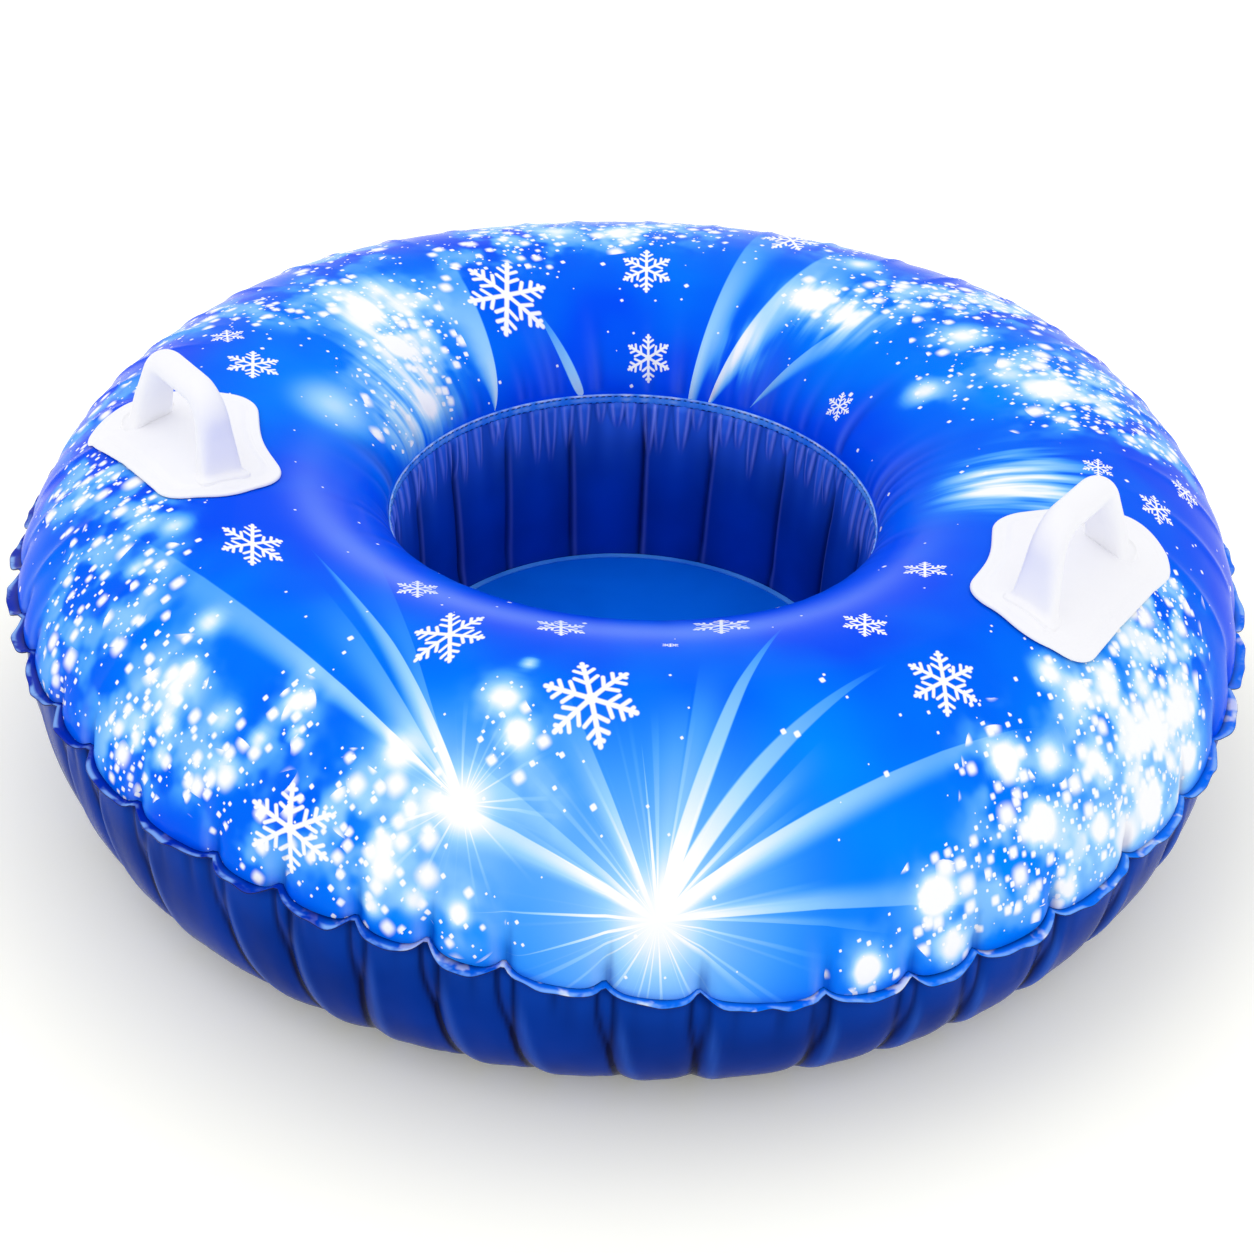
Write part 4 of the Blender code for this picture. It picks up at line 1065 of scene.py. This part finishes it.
# Two grooves pressed round the plate: distance from its edge, and depth
PLATE_GROOVES = ((0.0085, 0.00035), (0.0107, 0.00025))
PLATE_GROOVE_HALF = 0.0009
PAD_INSET = 0.013
PAD_HEIGHT = 0.0016
STACK = GAP + PLATE_THICKNESS + PAD_HEIGHT
LOOP_HEIGHT = 0.070
LOOP_FOOT = 0.0655
LOOP_FRONT_SHOULDER = 0.055
LOOP_BACK_SHOULDER = 0.028
LOOP_BEND = 0.026
GRIP_THICKNESS = 0.025
GRIP_WIDTH = 0.027
LEG_THICKNESS = 0.019
FOOT_WIDTH = 0.039
LEG_FLARE = 1.5
LEG_ROOT = 0.012
LEG_DENT = 0.0012
LEG_BLEND = 0.035
ROOT_HEIGHT = 0.001
FOOT_FILLET = 0.005
LOOP_STEPS = 72
BEND_STEPS = 14
GRIP_SQUARENESS = 2.0
FOOT_SQUARENESS = 5.0
# Name, place round the ring, distance from its middle, side and turn of each handle
HANDLES = (
    ("left_handle", math.radians(201.3), CROWN_RADIUS, -1, math.radians(28)),
    ("right_handle", math.radians(-20.2), CROWN_RADIUS + 0.020, 1, math.radians(4)),
)


def skin_height(x, y):
    """Height of the top skin's face over a point near the crown."""
    radius = np.hypot(x, y)
    angle = np.arctan2(y, x)
    edge_height = seam_height(angle.ravel()).reshape(angle.shape) + FLANGE_THICKNESS / 2 + GAP
    weld = RIM_HEIGHT + WELD_RUN
    outside = radius > CROWN_RADIUS
    share = np.where(outside, (radius - CROWN_RADIUS) / (SEAM_RADIUS + PINCH_DEPTH - CROWN_RADIUS),
                     (CROWN_RADIUS - radius) / (CROWN_RADIUS - RIM_RADIUS))
    full = np.where(outside, OUTER_UPPER_FULLNESS, INNER_UPPER_FULLNESS)
    low = np.where(outside, edge_height + WELD_RUN, weld)
    cosine = np.clip(share, 0, 1) ** (full / 2)
    sine = np.sqrt(1 - cosine ** 2)
    return low + (CROWN_HEIGHT - low) * sine ** (2 / full)


def rounded(corners, steps):
    """Outline through the corners, each given as its place and its radius."""
    corners, radii = zip(*corners)
    outline = []
    for place, (corner, radius) in enumerate(zip(corners, radii)):
        corner = Vector(corner)
        back = (Vector(corners[place - 1]) - corner).normalized()
        ahead = (Vector(corners[(place + 1) % len(corners)]) - corner).normalized()
        half = math.acos(max(-1, min(1, back.dot(ahead)))) / 2
        centre = corner + (back + ahead).normalized() * (radius / math.sin(half))
        start = corner + back * radius / math.tan(half) - centre
        sweep = math.pi - 2 * half
        for step in range(steps + 1):
            outline.append(centre + Matrix.Rotation(sweep * step / steps, 2) @ start)
    return np.array([tuple(point) for point in outline])


def plate_outline(side):
    """Six-sided plate, peaked and a little hollow towards the well, and pointed at the back."""
    corners = [((-PLATE_FRONT, -PLATE_END_SHIFT), PLATE_ROUND_CORNER),
               ((-PLATE_OUTER_SHOULDER, -PLATE_OUTER_HALF), PLATE_CORNER),
               ((PLATE_BACK, -PLATE_BACK_HALF), PLATE_CORNER),
               ((PLATE_POINT, -PLATE_END_SHIFT), PLATE_CORNER),
               ((PLATE_PEAK, PLATE_PEAK_HALF), PLATE_CORNER),
               ((-PLATE_SHOULDER, PLATE_INNER_HALF), PLATE_ROUND_CORNER)]
    points = rounded(corners, 16)
    closed = np.concatenate([points, points[:1]])
    x, y, run = resampled(closed, np.linspace(0, 1, PLATE_STEPS + 1)[:-1])
    share = np.clip((x + PLATE_SHOULDER) / (PLATE_SHOULDER + PLATE_PEAK), 0, 1)
    y -= PLATE_HOLLOW * np.sin(math.pi * share) ** 2 * (y > 0)
    points = np.stack([x, y], 1)
    return points if side > 0 else (points * (1, -1))[::-1]


def distance_in(points, outline):
    """How far each point lies inside the outline."""
    edge = np.roll(outline, -1, 0) - outline
    offset = points[:, None, :] - outline[None]
    share = np.clip((offset * edge).sum(-1) / (edge ** 2).sum(-1), 0, 1)
    return np.hypot(*np.moveaxis(offset - edge * share[..., None], -1, 0)).min(1)


def between_rings(rings, count):
    """Faces from each closed ring of points to the next."""
    faces = []
    for ring in range(rings - 1):
        for step in range(count):
            after = (step + 1) % count
            faces.append((ring * count + step, ring * count + after,
                          (ring + 1) * count + after, (ring + 1) * count + step))
    return faces


def on_tube(place, points):
    """Points of a handle's plan, in the plan of the tube."""
    return points @ np.array(place.to_3x3())[:2, :2].T + np.array(place.translation)[:2]


def plate_mesh(place, side):
    """Base plate and pad of a handle: a closed skin that follows the crown."""
    outline = plate_outline(side)
    count = len(outline)
    rings = 1 - np.linspace(0, 1, 64)[:-1] ** 1.25
    top = (rings[:, None, None] * outline[None]).reshape(-1, 2)
    top = np.concatenate([top, [(0.0, 0.0)]])
    inset = distance_in(top, outline)
    inset[:count] = 0
    lip = np.sqrt(np.clip(1 - (1 - np.clip(inset / PLATE_LIP, 0, 1)) ** 2, 0, 1))
    thick = PLATE_EDGE + (PLATE_THICKNESS - PLATE_EDGE) * lip
    thick += PAD_HEIGHT * soft_step(PAD_INSET - 0.002, PAD_INSET + 0.004, inset)
    for groove, depth in PLATE_GROOVES:
        thick -= depth * bell(inset - groove, PLATE_GROOVE_HALF)
    plan = on_tube(place, top)
    base = skin_height(plan[:, 0], plan[:, 1]) + GAP
    upper = np.column_stack([plan, base + thick])
    lower = np.column_stack([plan[:count], base[:count]])
    faces = between_rings(len(rings), count)
    under = len(upper)
    centre = under - 1
    last = centre - count
    for step in range(count):
        after = (step + 1) % count
        faces.append((last + step, last + after, centre))
        faces.append((under + step, under + after, after, step))
    return np.concatenate([upper, lower]), faces


def leg_path(shoulder):
    """Middle line of one leg and its bend, up to the grip, with its headings."""
    foot = Vector((LOOP_FOOT, 0))
    leg = Vector((shoulder, LOOP_HEIGHT)) - foot
    lean = math.atan2(-leg.x, leg.y)
    turn = math.pi / 2 - lean
    back_off = LOOP_BEND * math.tan(turn / 2)
    bend_start = foot + leg - leg.normalized() * back_off
    arc_centre = Vector((shoulder - back_off, LOOP_HEIGHT - LOOP_BEND))
    path = [(foot - leg.normalized() * LEG_ROOT, lean)]
    path += [(foot.lerp(bend_start, share), lean) for share in np.linspace(0, 1, 34) ** 1.4]
    for step in range(1, BEND_STEPS + 1):
        angle = lean + turn * step / BEND_STEPS
        path.append((arc_centre + Vector((math.cos(angle), math.sin(angle))) * LOOP_BEND, angle))
    return path


def loop_mesh(place):
    """Hand loop with broad feet that run out into the pad, as a lofted tube."""
    path = leg_path(LOOP_BACK_SHOULDER)
    mirrored = [(Vector((-point.x, point.y)), math.pi - angle)
                for point, angle in reversed(leg_path(LOOP_FRONT_SHOULDER))]
    middle = [(Vector((x, LOOP_HEIGHT)), math.pi / 2)
              for x in np.linspace(path[-1][0].x, mirrored[0][0].x, 10)[1:-1]]
    path = path + middle + mirrored
    turns = np.arange(LOOP_STEPS) * math.tau / LOOP_STEPS
    points = []
    for point, angle in path:
        down = max(0.0, min(1.0, 1 - point.y / LOOP_HEIGHT))
        spread = down ** LEG_FLARE
        width = GRIP_WIDTH + (FOOT_WIDTH - GRIP_WIDTH) * spread
        thickness = GRIP_THICKNESS + (LEG_THICKNESS - GRIP_THICKNESS) * min(1.0, down / 0.5)
        above = min(1.0, max(0.0, point.y - STACK) / FOOT_FILLET)
        fillet = FOOT_FILLET * (1 - math.sqrt(1 - (1 - above) ** 2))
        power = 2 / (GRIP_SQUARENESS + (FOOT_SQUARENESS - GRIP_SQUARENESS) * spread)
        across = np.sign(np.sin(turns)) * np.abs(np.sin(turns)) ** power
        out = np.sign(np.cos(turns)) * np.abs(np.cos(turns)) ** power
        dent = LEG_DENT * spread * bell(across, 0.6, 3.0) * np.clip(out, 0, 1)
        off = out * (thickness / 2 + fillet) - dent
        x = point.x + math.cos(angle) * off
        z = point.y + math.sin(angle) * off
        points.append(np.column_stack([x, across * (width / 2 + fillet), z]))
    points = np.concatenate(points)
    plan = on_tube(place, points[:, :2])
    level = place.translation.z
    low = 1 - soft_step(0.0, LEG_BLEND, points[:, 2])
    seat = (skin_height(plan[:, 0], plan[:, 1]) - level) * low
    height = np.maximum(points[:, 2], ROOT_HEIGHT) + level + seat
    return np.column_stack([plan, height]), between_rings(len(path), LOOP_STEPS)


def add_handle(name, angle, radius, side, turn, finish):
    x = radius * math.cos(angle)
    y = radius * math.sin(angle)
    level = float(skin_height(np.array(x), np.array(y)))
    facing = angle + side * (math.pi / 2 - turn)
    place = Matrix.Translation((x, y, level)) @ Matrix.Rotation(facing, 4, "Z")
    plate_points, faces = plate_mesh(place, side)
    loop_points, loop_faces = loop_mesh(place)
    faces += [tuple(corner + len(plate_points) for corner in face) for face in loop_faces]
    mesh = bpy.data.meshes.new("moulded_" + name)
    mesh.from_pydata(np.concatenate([plate_points, loop_points]).tolist(), [], faces)
    mesh.shade_smooth()
    stand_in(linked("moulded_" + name, mesh), finish, name)


def moulded_white():
    nodes = Nodes(bpy.data.materials.new("moulded_white"))
    place = nodes.place()
    colour = nodes.mix(nodes.noise(place, 14.0, 3.0), srgb(243, 243, 248), srgb(249, 249, 253))
    rough = nodes.noise(place, 60.0, 3.0) * 0.15 + 0.38
    return nodes.finished(colour, rough, 0.35, (420.0, 2.0, 0.2, 0.0002))


# CAD nodes that stay, and their finishes
STAYING = {"floor_panel": "floor_vinyl", "floor_seam": "seam_vinyl", "valve_base": "valve_plastic",
           "valve_stopper": "valve_plastic", "valve_cap": "valve_plastic", "valve_flap": "valve_plastic"}
EDGE_SOFTNESS = 0.0003


def dress_frame(finishes):
    """New finishes and soft edges for the CAD nodes that stay."""
    for name, finish in STAYING.items():
        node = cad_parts[name]
        for slot in node.material_slots:
            slot.material = finishes[finish]
        bevel = node.modifiers.new("Soft edges", "BEVEL")
        bevel.width = EDGE_SOFTNESS
        bevel.segments = 2
        bevel.limit_method = "ANGLE"


# Studio

AMBIENT = 0.97
STUDIO_HALF = 6.0
STUDIO_DROP = 0.0005
# Colour of the painted light the floor gives off where it is seen, directly or in reflections
FLOOR_LIGHT_TINT = (1.0, 0.97, 0.55, 1)
# Where the floor's own light starts to grow and stops growing, from the tube's middle
FLOOR_GLOW_START = 0.56
FLOOR_GLOW_END = 0.95
# Name, place, target, size and power of each lamp
LAMPS = (
    ("key", (-1.2, -0.6, 3.2), (0, 0, 0.2), 2.4, 8),
    ("fill", (1.8, -2.4, 2.0), (0, 0, 0.1), 2.0, 4),
    ("back", (-0.5, 3.0, 0.9), (0, 0, 0.25), 1.1, 1.5),
)
CAMERA_PLACE = Vector((0.3259, -1.6765, 1.2565))
CAMERA_TARGET = Vector((-0.0016, -0.0003, 0.1023))
CAMERA_ROLL = 0.041
CAMERA_LENS = 62.8


def studio():
    sky = Nodes(bpy.data.worlds.new("studio"), "Background")
    bpy.context.scene.world = sky.data
    sky.set("Strength", sky.seen() * (1 - AMBIENT) + AMBIENT)
    sky.set("Color", (1, 1, 1, 1))

    mesh = bpy.data.meshes.new("studio_floor")
    corners = [(x * STUDIO_HALF, y * STUDIO_HALF, 0) for x, y in ((-1, -1), (1, -1), (1, 1), (-1, 1))]
    mesh.from_pydata(corners, [], [(0, 1, 2, 3)])
    floor = linked("studio_floor", mesh)
    floor.location.z = -STUDIO_DROP
    nodes = Nodes(bpy.data.materials.new("studio_floor"))
    nodes.set("Base Color", (0.98, 0.98, 0.98, 1))
    nodes.set("Roughness", 0.8)
    nodes.set("Specular IOR Level", 0.1)
    nodes.set("Emission Color", FLOOR_LIGHT_TINT)
    # Painted light where seen: weaker near the tube, stronger farther out
    far = nodes.rise(nodes.vector("LENGTH", nodes.place()), FLOOR_GLOW_START, FLOOR_GLOW_END)
    nodes.set("Emission Strength", nodes.seen() * (far * 0.26 + 0.15))
    floor.data.materials.append(nodes.data)

    for name, place, target, size, power in LAMPS:
        light = bpy.data.lights.new(name, "AREA")
        light.shape = "DISK"
        light.size = size
        light.energy = power
        lamp = linked(name, light)
        lamp.location = place
        lamp.visible_camera = False
        lamp.rotation_euler = (Vector(target) - Vector(place)).to_track_quat("-Z", "Y").to_euler()


def camera():
    data = bpy.data.cameras.new("camera")
    data.lens = CAMERA_LENS
    item = linked("camera", data)
    turn = (CAMERA_TARGET - CAMERA_PLACE).to_track_quat("-Z", "Y").to_matrix().to_4x4()
    item.matrix_world = Matrix.Translation(CAMERA_PLACE) @ turn @ Matrix.Rotation(CAMERA_ROLL, 4, "Z")
    bpy.context.scene.camera = item


bpy.context.scene.view_settings.view_transform = "Standard"
finishes = {name: vinyl(name, *values) for name, values in PLAIN_FINISHES.items()}
upper_skin(printed_vinyl())
lower_skin(finishes["navy_vinyl"])
outer_seam(welded_vinyl())
inner_wall(finishes["wall_vinyl"])
inner_seam(finishes["seam_vinyl"])
white = moulded_white()
for handle in HANDLES:
    add_handle(*handle, white)
dress_frame(finishes)
studio()
camera()
